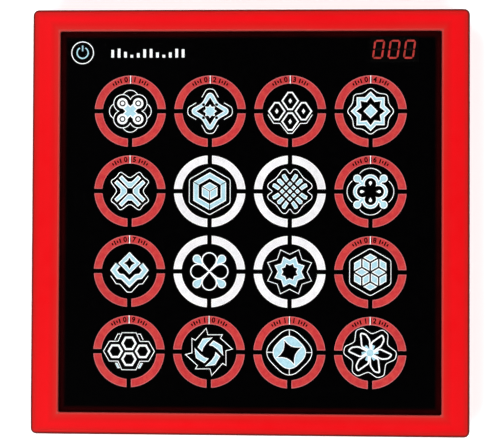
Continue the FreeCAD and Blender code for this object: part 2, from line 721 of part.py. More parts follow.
def make_rear_cover():
    """The back shell: floor, skirt with a tongue, battery well, posts, pillars, speaker seat and grille."""
    body = new_body("rear_cover")
    outline = new_sketch(body, "back_outline", BACK)
    add_rectangle(outline, "case", "Dims.case_width", "Dims.case_depth")
    pad(body, "back_block", outline, f"Dims.split_height - {BACK}")
    fillet(body, "back_corners", "Dims.corner_radius", upright)
    fillet(body, "back_rounding", "Dims.back_round", flat_at(dim("foot_height")))

    tongue_x = "Dims.case_width - 2 * Dims.skirt_wall - 0.2"
    tongue_y = "Dims.case_depth - 2 * Dims.skirt_wall - 0.2"
    tongue = new_sketch(body, "tongue_outline", "Dims.split_height")
    add_rectangle(tongue, "tongue", tongue_x, tongue_y)
    pad(body, "tongue", tongue, "2.2")
    hollow = new_sketch(body, "hollow_outline", "Dims.split_height + 2.2")
    add_rectangle(hollow, "hollow", f"{tongue_x} - 2", f"{tongue_y} - 2")
    pocket(body, "hollow", hollow, f"Dims.split_height + 2.2 - {BACK} - Dims.back_wall")

    raised = new_sketch(body, "raised_outline", FLOOR)
    centre_right = "Dims.well_x + Dims.well_length / 2 + Dims.well_wall"
    centre_back = "Dims.well_y + Dims.well_width / 2 + Dims.well_wall"
    add_rectangle(
        raised, "well", "Dims.well_length + 2 * Dims.well_wall", "Dims.well_width + 2 * Dims.well_wall",
        centre_right, centre_back,
    )
    pad(body, "well_block", raised, f"Dims.well_top - ({FLOOR})")
    ear = new_sketch(body, "ear_outline", FLOOR)
    add_rectangle(
        ear, "ear", "Dims.ear_length + 3", "Dims.well_width + 2 * Dims.well_wall + 3",
        f"{centre_right} + Dims.ear_length + 2", f"{centre_back} + 1.5",
    )
    pad(body, "ear_block", ear, "2.0")

    posts = new_sketch(body, "post_outline", FLOOR)
    for i, (x, y) in enumerate(case_screw_places()):
        add_circle(posts, f"post_{i}", "3.5", x, y)
    pad(body, "posts", posts, f"Dims.split_height - ({FLOOR})")
    pillars = new_sketch(body, "pillar_outline", FLOOR)
    for i, (x, y) in enumerate(pillar_places()):
        add_circle(pillars, f"pillar_{i}", "2.5", x, y)
    pad(body, "pillars", pillars, f"Dims.board_under - ({FLOOR})")
    boss = new_sketch(body, "door_boss_outline", FLOOR)
    add_circle(boss, "door_boss", "3.6", *door_screw_place())
    pad(body, "door_boss", boss, "5.6")

    speaker_wall = new_sketch(body, "speaker_wall_outline", FLOOR)
    centre = (dim("speaker_x"), dim("speaker_y"))
    add_circle(speaker_wall, "speaker_outer", "Dims.speaker_radius + 1.5", *centre)
    add_circle(speaker_wall, "speaker_inner", "Dims.speaker_radius + 0.3", *centre)
    pad(body, "speaker_wall", speaker_wall, "1.7")
    speaker_posts = new_sketch(body, "speaker_post_outline", FLOOR)
    for i, (x, y) in enumerate(speaker_screw_places()):
        add_circle(speaker_posts, f"speaker_post_{i}", "2.3", x, y)
    pad(body, "speaker_posts", speaker_posts, "1.8")
    switch_posts = new_sketch(body, "switch_post_outline", FLOOR)
    for i, (x, y) in enumerate(switch_screw_places()):
        add_circle(switch_posts, f"switch_post_{i}", "2.2", x, y)
    pad(body, "switch_posts", switch_posts, "5.0")

    cut_back_cover(body)
    return body


def cut_back_cover(body):
    """Every opening in the back cover."""
    well = new_sketch(body, "well_opening", "Dims.well_top - 1.0")
    add_rectangle(
        well, "well_inside", "Dims.well_length", "Dims.well_width",
        "Dims.well_x + Dims.well_length / 2", "Dims.well_y + Dims.well_width / 2",
    )
    pocket(body, "well_inside", well, "Dims.well_top")
    door = new_sketch(body, "door_opening", f"{BACK} + Dims.door_thick + 0.1")
    add_rectangle(
        door, "door_recess", "Dims.well_length + 3 + Dims.ear_length", "Dims.well_width + 2.8",
        "Dims.well_x + Dims.well_length / 2 + 1.5 + Dims.ear_length",
        "Dims.well_y + Dims.well_width / 2 + 1.4",
    )
    pocket(body, "door_recess", door, "Dims.door_thick + 0.1")
    x0 = dim("well_x") - dim("well_length") / 2
    for i, y in enumerate(tab_places()):
        width, right, back = "Dims.tab_width + 0.6", x0 + 0.4, f"{y} + Dims.tab_width / 2 + 0.3"
        slot = new_sketch(body, f"tab_slot_outline_{i}", FLOOR)
        add_rectangle(slot, f"tab_{i}", "3.4", width, f"{right}", back)
        pocket(body, f"tab_slot_{i}", slot, "3.2", upwards=True)
        under = new_sketch(body, f"tab_way_outline_{i}", FLOOR)
        add_rectangle(under, f"way_{i}", "1.9", width, f"{right}", back)
        pocket(body, f"tab_way_{i}", under, "Dims.back_wall")

    for i, (x, y) in enumerate(solder_tab_places()):
        way = new_sketch(body, f"solder_slot_outline_{i}", "Dims.solder_top")
        add_rectangle(way, f"solder_{i}", "Dims.well_wall + 0.4", "3.2", f"{x} + 0.9", f"{y} + 1.6")
        pocket(body, f"solder_slot_{i}", way, "0.8")

    recess = new_sketch(body, "door_boss_recess_outline", BACK)
    add_circle(recess, "door_boss_recess", "4.2", *door_screw_place())
    pocket(body, "door_boss_recess", recess, "3.0", upwards=True)
    hole = new_sketch(body, "door_boss_hole_outline", BACK)
    add_circle(hole, "door_boss_hole", "1.55", *door_screw_place())
    pocket(body, "door_boss_hole", hole, "7.0", upwards=True)

    heads = new_sketch(body, "head_recess_outline", BACK)
    shanks = new_sketch(body, "shank_hole_outline", BACK)
    for i, (x, y) in enumerate(case_screw_places()):
        add_circle(heads, f"head_{i}", "2.7", x, y)
        add_circle(shanks, f"shank_{i}", "1.5", x, y)
    pocket(body, "head_recesses", heads, "3.0", upwards=True)
    pocket(body, "shank_holes", shanks, "Dims.split_height", upwards=True)

    grille = new_sketch(body, "grille_outline", BACK)
    for i, (x, y) in enumerate(grille_places()):
        add_circle(grille, f"grille_{i}", "1.0", x, y)
    pocket(body, "grille", grille, "Dims.back_wall", upwards=True)
    pilots = new_sketch(body, "small_pilot_outline", "20")
    for i, (x, y) in enumerate(speaker_screw_places() + switch_screw_places()):
        add_circle(pilots, f"small_pilot_{i}", "0.8", x, y)
    pocket(body, "small_pilots", pilots, f"20 - ({FLOOR})")

    feet = new_sketch(body, "foot_recess_outline", BACK)
    for i, (x, y) in enumerate(foot_places()):
        add_circle(feet, f"foot_{i}", "Dims.foot_radius + 0.2", x, y)
    pocket(body, "foot_recesses", feet, "0.8", upwards=True)
    dish = new_sketch(body, "switch_dish_outline", BACK)
    add_rectangle(dish, "dish", "17", "9", "Dims.switch_x + 8.5", "Dims.switch_y + 4.5")
    pocket(body, "switch_dish", dish, "0.8", upwards=True)
    slot = new_sketch(body, "switch_slot_outline", BACK)
    add_rectangle(
        slot, "slot", "5.6 + 2 * Dims.switch_travel", "4.6",
        "Dims.switch_x + 2.8 + Dims.switch_travel", "Dims.switch_y + 2.3",
    )
    pocket(body, "switch_slot", slot, "Dims.back_wall", upwards=True)


def pillar_places():
    """Nine pillars that hold the circuit board up, clear of the battery well."""
    step, drop = 2 * dim("pitch"), dim("grid_drop")
    return [(i * step, j * step - drop) for i in (-1, 0, 1) for j in (-1, 0, 1)]


def grille_places():
    """The speaker's sound holes: one in the middle and three rings of six, twelve and eighteen."""
    step = 3.6
    places = [(0.0, 0.0)]
    for ring in (1, 2, 3):
        for i in range(6 * ring):
            angle = math.tau * i / (6 * ring)
            places.append((ring * step * math.cos(angle), ring * step * math.sin(angle)))
    return [(dim("speaker_x") + x, dim("speaker_y") + y) for x, y in places]


def speaker_screw_places():
    """Three screws round the speaker, whose washers hold its rim."""
    reach = dim("speaker_radius") + 4.2
    angles = [math.radians(a) for a in (90, 210, 330)]
    return [(dim("speaker_x") + reach * math.cos(a), dim("speaker_y") + reach * math.sin(a)) for a in angles]


def switch_screw_places():
    """Two screws that hold the switch's small board."""
    return [(dim("switch_x") + side * 11.5, dim("switch_y")) for side in (-1, 1)]


def foot_places():
    """The four feet."""
    return [(i * dim("foot_x"), j * dim("foot_y")) for i in (-1, 1) for j in (-1, 1)]


def tab_places():
    """The door's two tabs, each between two cells."""
    return [dim("well_y") + side * dim("cell_pitch") / 2 for side in (-1, 1)]


def door_screw_place():
    """The battery door's screw."""
    return dim("well_x") + dim("well_length") / 2 + 1.5 + dim("ear_length") - 4.2, dim("well_y")


# ---------------------------------------------------------------- battery door and cells


def make_battery_door():
    """The door: a plate with two hooked tabs at one end and a sunk, thickened screw seat at the other."""
    body = new_body("battery_door")
    left = "Dims.well_x - Dims.well_length / 2 - 1.5 + Dims.door_gap"
    right = "Dims.well_x + Dims.well_length / 2 + 1.5 + Dims.ear_length - Dims.door_gap"
    plate = new_sketch(body, "door_outline", BACK)
    add_rectangle(
        plate, "door", f"({right}) - ({left})", "Dims.well_width + 2.8 - 2 * Dims.door_gap",
        right, "Dims.well_y + Dims.well_width / 2 + 1.4 - Dims.door_gap",
    )
    pad(body, "door_plate", plate, "Dims.door_thick")
    fillet(body, "door_corners", "1.0", upright)
    fillet(body, "door_edge", "0.3", flat_at(dim("foot_height")))

    necks = new_sketch(body, "neck_outline", f"{BACK} + Dims.door_thick - 0.4")
    toes = new_sketch(body, "toe_outline", f"{BACK} + Dims.door_thick + 0.6")
    for i, y in enumerate(tab_places()):
        back = f"{y} + Dims.tab_width / 2"
        add_rectangle(necks, f"neck_{i}", "1.4", "Dims.tab_width", f"{left} + 1.4", back)
        add_rectangle(toes, f"toe_{i}", "2.6", "Dims.tab_width", f"{left} + 0.1", back)
    pad(body, "tab_necks", necks, "2.4")
    pad(body, "tab_toes", toes, "1.4")
    seat = new_sketch(body, "screw_seat_outline", f"{BACK} + Dims.door_thick - 0.2")
    add_circle(seat, "seat", "3.8", *door_screw_place())
    pad(body, "screw_seat", seat, "1.4")

    head = new_sketch(body, "door_head_outline", BACK)
    add_circle(head, "head", "2.6", *door_screw_place())
    pocket(body, "door_head_recess", head, "1.5", upwards=True)
    shank = new_sketch(body, "door_shank_outline", BACK)
    add_circle(shank, "shank", "1.38", *door_screw_place())
    pocket(body, "door_shank_hole", shank, "4.0", upwards=True)
    grips = new_sketch(body, "grip_outline", BACK)
    for i in range(GRIPS):
        add_rectangle(grips, f"grip_{i}", "0.6", "12", f"{right} - 9.0 - {1.6 * i}", "Dims.well_y + 6")
    pocket(body, "finger_grips", grips, "0.3", upwards=True)

    foam_corner = ("Dims.well_x - 15", "Dims.well_y - 14", f"{BACK} + Dims.door_thick")
    plain_box("door_foam", (30, 28, 0.3), foam_corner)


def cell_axis_height():
    """The height of the cells' axes."""
    return dim("foot_height") + dim("door_thick") + 0.4 + dim("cell_radius")


def cell_rows():
    """For each cell, its Y and which way its positive end points along X."""
    return [(dim("well_y") + i * dim("cell_pitch"), 1 if i == 0 else -1) for i in (-1, 0, 1)]


def solder_tab_places():
    """Where the end contacts' solder tabs pass through the well's walls: the middle of each wall, and Y."""
    reach = dim("well_length") / 2 + dim("well_wall") / 2
    return [(dim("well_x") + way * reach, dim("well_y") + way * dim("cell_pitch")) for way in (-1, 1)]


def make_cells():
    """Three AAA cells side by side, the middle one turned round, each with a spring at its flat end."""
    half_well, z = dim("well_length") / 2, cell_axis_height()
    plate, nub, length = CONTACT_THICK, 0.9, dim("cell_length")
    spring_room = 2 * half_well - 2 * plate - length - nub
    for number, (y, way) in enumerate(cell_rows(), start=1):
        cell = turned(
            f"battery_cell_{number}",
            [
                (0, 0), (0, 1.9), (nub, 1.9), (nub, "Dims.cell_radius - 0.6"),
                (f"{nub} + 0.4", "Dims.cell_radius"), (f"{nub} + Dims.cell_length - 0.4", "Dims.cell_radius"),
                (f"{nub} + Dims.cell_length", "Dims.cell_radius - 0.6"), (f"{nub} + Dims.cell_length", 0),
            ],
            axis="H_Axis",
        )
        tip = Vector(dim("well_x") + way * (half_well - plate), y, z)
        cell.Placement = FreeCAD.Placement(tip, FreeCAD.Rotation(Z_AXIS, 180 if way > 0 else 0))
        foot = Vector(dim("well_x") - way * (half_well - plate), y, z)
        from_shape(f"contact_spring_{number}", contact_spring(foot, Vector(way, 0, 0), spring_room))


def contact_spring(foot, axis, room):
    """A conical coil spring from the contact plate to the flat end of a cell."""
    wire, turns, wide, narrow, steps_per_turn = 0.3, 3.5, 3.4, 1.9, 12
    rise = room - 2 * wire
    steps = int(turns * steps_per_turn)
    points = []
    for i in range(steps + 1):
        part = i / steps
        radius = wide + (narrow - wide) * part
        angle = math.tau * turns * part
        points.append(Vector(radius * math.cos(angle), radius * math.sin(angle), rise * part))
    path = Part.BSplineCurve()
    path.interpolate(points)
    run = path.toShape()
    section = Part.Wire(Part.makeCircle(wire, points[0], run.tangentAt(run.FirstParameter)))
    coil = Part.Wire([run]).makePipeShell([section], True, True)
    coil.Placement = FreeCAD.Placement(foot + axis * wire, FreeCAD.Rotation(Z_AXIS, axis))
    return coil


def make_contact_plates():
    """Four contact plates in the well: a long and a short one at each end, the short ones with solder tabs."""
    z, half_well, pitch = cell_axis_height(), dim("well_length") / 2, dim("cell_pitch")
    tab_top = dim("solder_top")
    plates = []
    for way in (-1, 1):
        wall = dim("well_x") + way * half_well
        near, far = sorted((wall, wall - way * CONTACT_THICK))
        short_y = dim("well_y") + way * pitch
        long_y = dim("well_y") - way * pitch / 2
        short = block(near, far, short_y - 4.2, short_y + 4.2, z - 3.4, z + 4.2)
        out, back = sorted((wall + way * 4.0, wall - way * CONTACT_THICK))
        tab = block(out, back, short_y - 1.4, short_y + 1.4, tab_top - 0.6, tab_top - 0.2)
        plates.append(short.fuse(tab).removeSplitter())
        plates.append(block(near, far, long_y - 4.2 - pitch / 2, long_y + 4.2 + pitch / 2, z - 3.4, z + 4.2))
    from_shape("contact_plates", Part.makeCompound(plates))


# ---------------------------------------------------------------- speaker, switch, wiring


def make_speaker():
    """A small loudspeaker, face down over the grille: gasket, frame, cone, magnet, tags and three screws."""
    radius = "Dims.speaker_radius"
    floor_level = dim("foot_height") + dim("back_wall")
    gasket = turned("speaker_gasket", [
        (f"{radius} - 2.6", FLOOR), (radius, FLOOR), (radius, f"{FLOOR} + 0.8"),
        (f"{radius} - 2.6", f"{FLOOR} + 0.8"),
    ])
    frame = turned("speaker_frame", [
        (f"{radius} - 2.4", f"{FLOOR} + 0.8"), (radius, f"{FLOOR} + 0.8"), (radius, f"{FLOOR} + 1.8"),
        (f"{radius} - 1.4", f"{FLOOR} + 1.8"), (9.6, f"{FLOOR} + 5.0"), (9.6, f"{FLOOR} + 5.8"),
        (4.0, f"{FLOOR} + 5.8"), (4.0, f"{FLOOR} + 5.0"), (8.6, f"{FLOOR} + 5.0"),
        (f"{radius} - 2.4", f"{FLOOR} + 1.8"),
    ])
    cone = turned("speaker_cone", [
        (0, f"{FLOOR} + 3.4"), (3.4, f"{FLOOR} + 3.9"), (4.2, f"{FLOOR} + 4.3"),
        (f"{radius} - 4.6", f"{FLOOR} + 1.7"), (f"{radius} - 2.7", f"{FLOOR} + 1.7"),
        (f"{radius} - 2.7", f"{FLOOR} + 1.2"),
        (f"{radius} - 4.8", f"{FLOOR} + 1.2"), (4.2, f"{FLOOR} + 3.8"), (0, f"{FLOOR} + 2.9"),
    ])
    magnet = turned("speaker_magnet", [
        (0, f"{FLOOR} + 5.8"), (8.0, f"{FLOOR} + 5.8"), (8.0, f"{FLOOR} + 8.8"), (7.6, f"{FLOOR} + 9.2"),
        (0, f"{FLOOR} + 9.2"),
    ])
    for piece in (gasket, frame, cone, magnet):
        stand_at(piece, "Dims.speaker_x", "Dims.speaker_y")
    tag_corner = ("Dims.speaker_x + 8.3", "Dims.speaker_y - 4.5", f"{FLOOR} + 5.8")
    plain_box("speaker_tags", (5.4, 9, 0.8), tag_corner)

    washer = tube(0.8, 4.6, floor_level + 1.8, floor_level + 2.4)
    screws = []
    for x, y in speaker_screw_places():
        head = Part.makeCylinder(1.7, 1.2, Vector(0, 0, floor_level + 2.4))
        shank = Part.makeCylinder(0.75, 3.6, Vector(0, 0, floor_level + 0.1))
        screws += [moved(head.fuse(shank).removeSplitter(), x, y), moved(washer, x, y)]
    from_shape("speaker_screws", Part.makeCompound(screws))


def make_switch():
    """The power switch: a finger knob in the back, its slider, and the fixed switch on a small board."""
    x, y = dim("switch_x"), dim("switch_y")
    back, floor = dim("foot_height"), dim("foot_height") + dim("back_wall")
    stem = block(x - 2.6, x + 2.6, y - 2.1, y + 2.1, back - 0.7, floor + 0.1)
    starts = [x - 1.9 + 1.1 * i for i in range(4)]
    grooves = [block(start, start + 0.5, y - 2.1, y + 2.1, back - 0.7, back - 0.4) for start in starts]
    stem = stem.cut(Part.makeCompound(grooves))
    flange = block(x - 7.0, x + 7.0, y - 4.0, y + 4.0, floor + 0.1, floor + 1.0)
    socket = block(x - 1.15, x + 1.15, y - 1.15, y + 1.15, back + 0.6, floor + 1.0)
    from_shape("switch_knob", stem.fuse(flange).cut(socket).removeSplitter())

    can_low, can_high = floor + 2.0, floor + 5.0
    pin = block(x - 1.05, x + 1.05, y - 1.05, y + 1.05, back + 0.8, can_low + 0.6)
    shoe = block(x - 2.6, x + 2.6, y - 1.9, y + 1.9, can_low + 0.6, can_low + 1.8)
    from_shape("switch_slider", pin.fuse(shoe).removeSplitter())

    can = block(x - 6.0, x + 6.0, y - 3.2, y + 3.2, can_low, can_high)
    inside = block(x - 5.2, x + 5.2, y - 2.4, y + 2.4, can_low + 0.45, can_high)
    window = block(x - 3.4, x + 3.4, y - 1.25, y + 1.25, can_low, can_high)
    from_shape("switch_can", can.cut(inside).cut(window))
    board = block(x - 14.0, x + 14.0, y - 5.0, y + 5.0, can_high, can_high + 1.0)
    holes = [Part.makeCylinder(1.0, 1.0, Vector(sx, sy, can_high)) for sx, sy in switch_screw_places()]
    from_shape("switch_board", board.cut(Part.makeCompound(holes)))
    screws = []
    for sx, sy in switch_screw_places():
        head = Part.makeCylinder(1.7, 1.1, Vector(sx, sy, can_high + 1.0))
        shank = Part.makeCylinder(0.75, 4.5, Vector(sx, sy, can_high + 1.0 - 4.5))
        screws.append(head.fuse(shank).removeSplitter())
    from_shape("switch_screws", Part.makeCompound(screws))


def make_leads():
    """The wires between the board and the battery contacts, the speaker and the switch board."""
    wire, bend = 0.55, 2.0
    board = dim("board_under")
    floor = dim("foot_height") + dim("back_wall")
    battery = []
    tab_z = dim("solder_top") - 0.4
    for way, (wall_x, y) in zip((-1, 1), solder_tab_places()):
        start = wall_x - way * dim("well_wall") / 2 + way * 4.0
        turn = start + way * 5
        battery.append(lead([(start, y, tab_z), (turn, y, tab_z), (turn, y, board)], bend, wire))
    from_shape("battery_leads", Part.makeCompound(battery))

    speaker, tag_end, tag_z = [], dim("speaker_x") + 13.7, floor + 6.2
    turn = tag_end + 9
    for side in (-1, 1):
        y = dim("speaker_y") + 3.0 * side
        speaker.append(lead([(tag_end, y, tag_z), (turn, y, tag_z), (turn, y, board)], bend, wire))
    from_shape("speaker_leads", Part.makeCompound(speaker))

    switch, y, top = [], dim("switch_y"), floor + 6.0
    for i in (-1, 0, 1):
        x = dim("switch_x") + 2.5 * i
        route = [(x, y, top), (x, y, top + 3.2), (x, y - 12, top + 3.2), (x, y - 12, board)]
        switch.append(lead(route, bend * 0.6, wire))
    from_shape("switch_leads", Part.makeCompound(switch))


def make_feet():
    """Four rubber feet, let into the back cover, with a small bevel at the rim that meets the table."""
    seat = f"{BACK} + 0.8"
    for number, (side_x, side_y) in enumerate([(-1, -1), (1, -1), (1, 1), (-1, 1)], start=1):
        foot = turned(f"rubber_foot_{number}", [
            (0, 0), ("Dims.foot_radius - 0.5", 0), ("Dims.foot_radius", 0.5),
            ("Dims.foot_radius", seat), (0, seat),
        ])
        stand_at(foot, f"{side_x} * Dims.foot_x", f"{side_y} * Dims.foot_y")


# ---------------------------------------------------------------- build, check and write

NODES = [
    "front_bezel", "window_tape", "touch_window", "graphic_film", "ring_windows_red", "ring_windows_white",
    "circle_figures", "ring_pointers", "header_marks", "touch_film", "touch_tail", "touch_connector",
    "light_baffle", "ring_light_guides", "figure_diffusers", "ring_leds", "figure_leds",
    "main_board", "board_screws", "controller_chip", "chip_legs", "capacitors", "crystal_and_resistors",
    "display_body", "lit_segments", "dark_segments",
    "rear_cover", "case_screws", "rubber_foot_1", "rubber_foot_2", "rubber_foot_3", "rubber_foot_4",
    "battery_cell_1", "battery_cell_2", "battery_cell_3", "contact_plates", "battery_leads",
    "contact_spring_1", "contact_spring_2", "contact_spring_3",
    "speaker_gasket", "speaker_frame", "speaker_cone", "speaker_magnet", "speaker_tags", "speaker_screws",
    "speaker_leads",
    "switch_can", "switch_board", "switch_screws", "switch_leads",
    "switch_knob", "switch_slider",
    "battery_door", "door_foam", "door_screw",
]


def build():
    """Makes every sub-part."""
    make_front_bezel()
    make_window_stack()
    make_printed_marks()
    make_light_baffle()
    make_light_guides()
    gridded("ring_leds", ring_led, BOARD_TOP)
    gridded("figure_leds", figure_led, BOARD_TOP)
    gridded("figure_diffusers", figure_diffuser, BAFFLE_TOP)
    make_main_board()
    make_board_parts()
    make_touch_tail()
    make_display()
    make_rear_cover()
    make_battery_door()
    make_cells()
    make_contact_plates()
    make_speaker()
    make_switch()
    make_leads()
    make_feet()
    floor = dim("foot_height")
    make_screw("board_screws", board_screw_places(), 1.8, 1.1, 0.9, 3.3, dim("board_under"))
    make_screw("case_screws", case_screw_places(), 2.3, 1.8, 1.3, 13.5, floor + 3.0)
    make_screw("door_screw", [door_screw_place()], 2.3, 1.2, 1.3, 4.0, floor + 1.5)


def write():
    """Checks every object and writes one STEP file for each sub-part."""
    doc.recompute()
    failed = [o.Name for o in doc.Objects if "Invalid" in o.State or "Error" in o.State]
    if failed:
        raise RuntimeError(f"failed objects: {failed}")
    os.makedirs("parts", exist_ok=True)
    shapes = {}
    for node in NODES:
        shape = doc.getObjectsByLabel(node)[0].Shape
        if shape.isNull() or not shape.isValid() or not shape.Solids:
            raise RuntimeError(f"{node} has no valid solid")
        shapes[node] = shape
    for node, shape in shapes.items():
        shape.exportStep(f"parts/{node}.step")
        print(f"{node}: {len(shape.Solids)} solids, {shape.Volume:.1f} mm3")


build()
write()
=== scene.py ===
"""Looks of the electronic touch light game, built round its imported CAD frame.

The CAD nodes keep their shapes and get detailed node materials here. The printed artwork is made here as
thin ink: sixteen geometric figures, the header marks, and the numbers and ticks on the red rings. The marks
moulded on the back are made here too. Frame places are in metres. Artwork is drawn in millimetres and scaled
as it is laid down.
"""

import json
import math

import bmesh
import bpy
from mathutils import Euler, Matrix, Vector

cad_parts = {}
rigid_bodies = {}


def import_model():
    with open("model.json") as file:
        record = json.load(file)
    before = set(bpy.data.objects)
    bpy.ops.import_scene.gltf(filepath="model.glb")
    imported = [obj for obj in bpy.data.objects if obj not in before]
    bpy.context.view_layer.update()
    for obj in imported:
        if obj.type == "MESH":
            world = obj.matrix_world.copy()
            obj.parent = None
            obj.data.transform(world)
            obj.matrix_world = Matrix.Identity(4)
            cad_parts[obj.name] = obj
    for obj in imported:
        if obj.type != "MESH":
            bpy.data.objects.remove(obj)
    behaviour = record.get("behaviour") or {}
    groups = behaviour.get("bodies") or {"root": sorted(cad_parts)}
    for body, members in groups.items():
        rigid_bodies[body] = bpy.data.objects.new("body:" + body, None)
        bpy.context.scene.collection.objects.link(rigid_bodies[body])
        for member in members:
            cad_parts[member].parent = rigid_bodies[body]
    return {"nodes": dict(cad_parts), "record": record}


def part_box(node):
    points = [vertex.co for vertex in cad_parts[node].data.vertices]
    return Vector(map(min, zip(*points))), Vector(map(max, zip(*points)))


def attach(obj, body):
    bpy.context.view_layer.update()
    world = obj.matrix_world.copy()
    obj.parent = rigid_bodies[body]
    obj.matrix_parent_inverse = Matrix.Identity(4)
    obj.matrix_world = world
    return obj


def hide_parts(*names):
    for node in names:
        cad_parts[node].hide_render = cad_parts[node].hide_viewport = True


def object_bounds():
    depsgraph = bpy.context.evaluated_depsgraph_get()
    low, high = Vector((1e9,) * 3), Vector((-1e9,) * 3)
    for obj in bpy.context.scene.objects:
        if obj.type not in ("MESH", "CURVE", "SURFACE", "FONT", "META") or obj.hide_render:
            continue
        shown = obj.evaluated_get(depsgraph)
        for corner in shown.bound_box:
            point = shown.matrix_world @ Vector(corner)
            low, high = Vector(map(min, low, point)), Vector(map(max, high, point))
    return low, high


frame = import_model()
cad_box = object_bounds()
scene = bpy.context.scene
scene.view_settings.view_transform = "Standard"

MM = 0.001
GRID = 4                 # touch circles in a row and in a column
RING_OUTER = 16.65 * MM  # outer radius of a lit ring
RING_INNER = 12.87 * MM  # inner radius of a lit ring
SLOT_HALF = 1.05 * MM    # half the width of the dark slots that part a ring

WINDOW_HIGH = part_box("touch_window")[1]
RINGS_LOW, RINGS_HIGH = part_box("ring_windows_red")
INK_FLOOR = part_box("graphic_film")[1].z
INK_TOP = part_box("circle_figures")[1].z
INK_LEVELS = 8                          # heights of printed ink, for one colour to lie over another
APERTURE_HALF = WINDOW_HIGH.x - 2 * MM  # half the opening in the bezel, which overlaps the window by 2 mm
CASE_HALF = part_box("front_bezel")[1]    # half the case's width and depth, and the height of its top
PITCH = (RINGS_HIGH.x - RINGS_LOW.x - 2 * RING_OUTER) / (GRID - 1)
GRID_MIDDLE = (RINGS_LOW + RINGS_HIGH) / 2


def circle_centre(row, column):
    """The middle of a touch circle. Row 0 is the far one, next to the display, and column 0 the left one."""
    half = (GRID - 1) / 2
    return Vector((GRID_MIDDLE.x + (column - half) * PITCH, GRID_MIDDLE.y + (half - row) * PITCH))


def has_red_ring(row, column):
    """The four middle circles have white rings and the twelve round them red ones."""
    return row in (0, GRID - 1) or column in (0, GRID - 1)


def add(name, data):
    """A new object in the scene."""
    made = bpy.data.objects.new(name, data)
    scene.collection.objects.link(made)
    return made


# ------------ node materials


def set_stops(ramp, stops):
    """Gives a colour ramp node its stops, as (place, colour) pairs."""
    elements = ramp.color_ramp.elements
    while len(elements) < len(stops):
        elements.new(0.5)
    for element, (position, colour) in zip(elements, stops):
        element.position = position
        element.color = (*colour, 1.0)
    return ramp.outputs[0]


class Paint:
    """Builds one node material. Its methods take sockets or plain numbers and return sockets."""

    def __init__(self, name):
        self.material = bpy.data.materials.new(name)
        self.material.use_nodes = True
        self.tree = self.material.node_tree
        self.tree.nodes.clear()
        self.out = self.tree.nodes.new("ShaderNodeOutputMaterial")
        self.place = self.node("ShaderNodeTexCoord").outputs["Object"]

    def node(self, kind, inputs=None, **settings):
        made = self.tree.nodes.new(kind)
        for name, value in settings.items():
            setattr(made, name, value)
        for name, value in (inputs or {}).items():
            self.put(made.inputs[name], value)
        return made

    def put(self, socket, value):
        """Links a socket to another, or sets it to a plain value."""
        if isinstance(value, bpy.types.NodeSocket):
            self.tree.links.new(value, socket)
        elif isinstance(value, (tuple, list)) and socket.type == "RGBA":
            socket.default_value = (*value[:3], 1.0)
        else:
            socket.default_value = value

    def math(self, operation, first, second=0.0, third=0.0):
        inputs = {0: first, 1: second, 2: third}
        return self.node("ShaderNodeMath", inputs, operation=operation).outputs[0]

    def axes(self):
        """The three parts of a point's place."""
        split = self.node("ShaderNodeSeparateXYZ", {0: self.place})
        return split.outputs[0], split.outputs[1], split.outputs[2]

    def stretched(self, scale):
        """The object's own coordinates, scaled differently along each axis."""
        return self.node("ShaderNodeMapping", {"Vector": self.place, "Scale": scale}).outputs[0]

    def noise(self, scale, detail=3.0, place=None):
        where = self.place if place is None else place
        inputs = {"Vector": where, "Scale": scale, "Detail": detail}
        return self.node("ShaderNodeTexNoise", inputs).outputs[0]

    def drift(self, scale, detail, low=0.0, high=1.0):
        """Wanders between low and high over the surface, in smaller patches at a larger scale."""
        return self.fade(self.noise(scale, detail), 0.3, 0.7, low, high)

    def cells(self, scale):
        """Soft-edged cells, 0 at their middles."""
        inputs = {"Vector": self.place, "Scale": scale}
        return self.node("ShaderNodeTexVoronoi", inputs, feature="SMOOTH_F1").outputs[0]

    def fade(self, value, low, high, start=0.0, end=1.0):
        """Runs from start to end as value goes from low to high, and stays there outside."""
        inputs = {"Value": value, "From Min": low, "From Max": high, "To Min": start, "To Max": end}
        return self.node("ShaderNodeMapRange", inputs, interpolation_type="SMOOTHSTEP").outputs[0]

    def mix(self, share, first, second):
        """The first colour where share is 0, and the second where it is 1."""
        made = self.node("ShaderNodeMix", data_type="RGBA")
        self.put(made.inputs["Factor"], share)
        self.put(made.inputs[6], first)
        self.put(made.inputs[7], second)
        return made.outputs[2]

    def ramp(self, value, stops):
        return set_stops(self.node("ShaderNodeValToRGB", {"Fac": value}), stops)

    def bump(self, height, distance, strength=1.0, normal=None):
        inputs = {"Height": height, "Distance": distance, "Strength": strength}
        if normal is not None:
            inputs["Normal"] = normal
        return self.node("ShaderNodeBump", inputs).outputs[0]

    def painted_recess_shade(self, reach, most):
        """A share for painted shade: 0 on open faces, rising to most deep in the piece's own recesses."""
        made = self.node("ShaderNodeAmbientOcclusion", {"Distance": reach}, samples=8, only_local=True)
        return self.fade(made.outputs["AO"], 0.4, 0.85, most, 0.0)

    def principled(self, colour, rough, specular=0.5, **others):
        """The main shader. The names of its other inputs have underscores for spaces."""
        inputs = {"Base Color": colour, "Roughness": rough, "Specular IOR Level": specular}
        inputs.update({name.replace("_", " "): value for name, value in others.items()})
        return self.show(self.node("ShaderNodeBsdfPrincipled", inputs).outputs[0])

    def lit(self, colour, strength, rough, **others):
        """The main shader for ink or plastic that is lit from behind, and so glows in its own colour."""
        others.update(Emission_Color=colour, Emission_Strength=strength)
        return self.principled(colour, rough, specular=0.1, **others)

    def show(self, shader):
        self.tree.links.new(shader, self.out.inputs["Surface"])
        return self.material


def distance_past_window(paint):
    """How far a point of the front lies outside the window opening, in metres, and less than 0 inside it."""
    x, y, _ = paint.axes()
    reach = paint.math("MAXIMUM", paint.math("ABSOLUTE", x), paint.math("ABSOLUTE", y))
    return paint.math("SUBTRACT", reach, APERTURE_HALF)


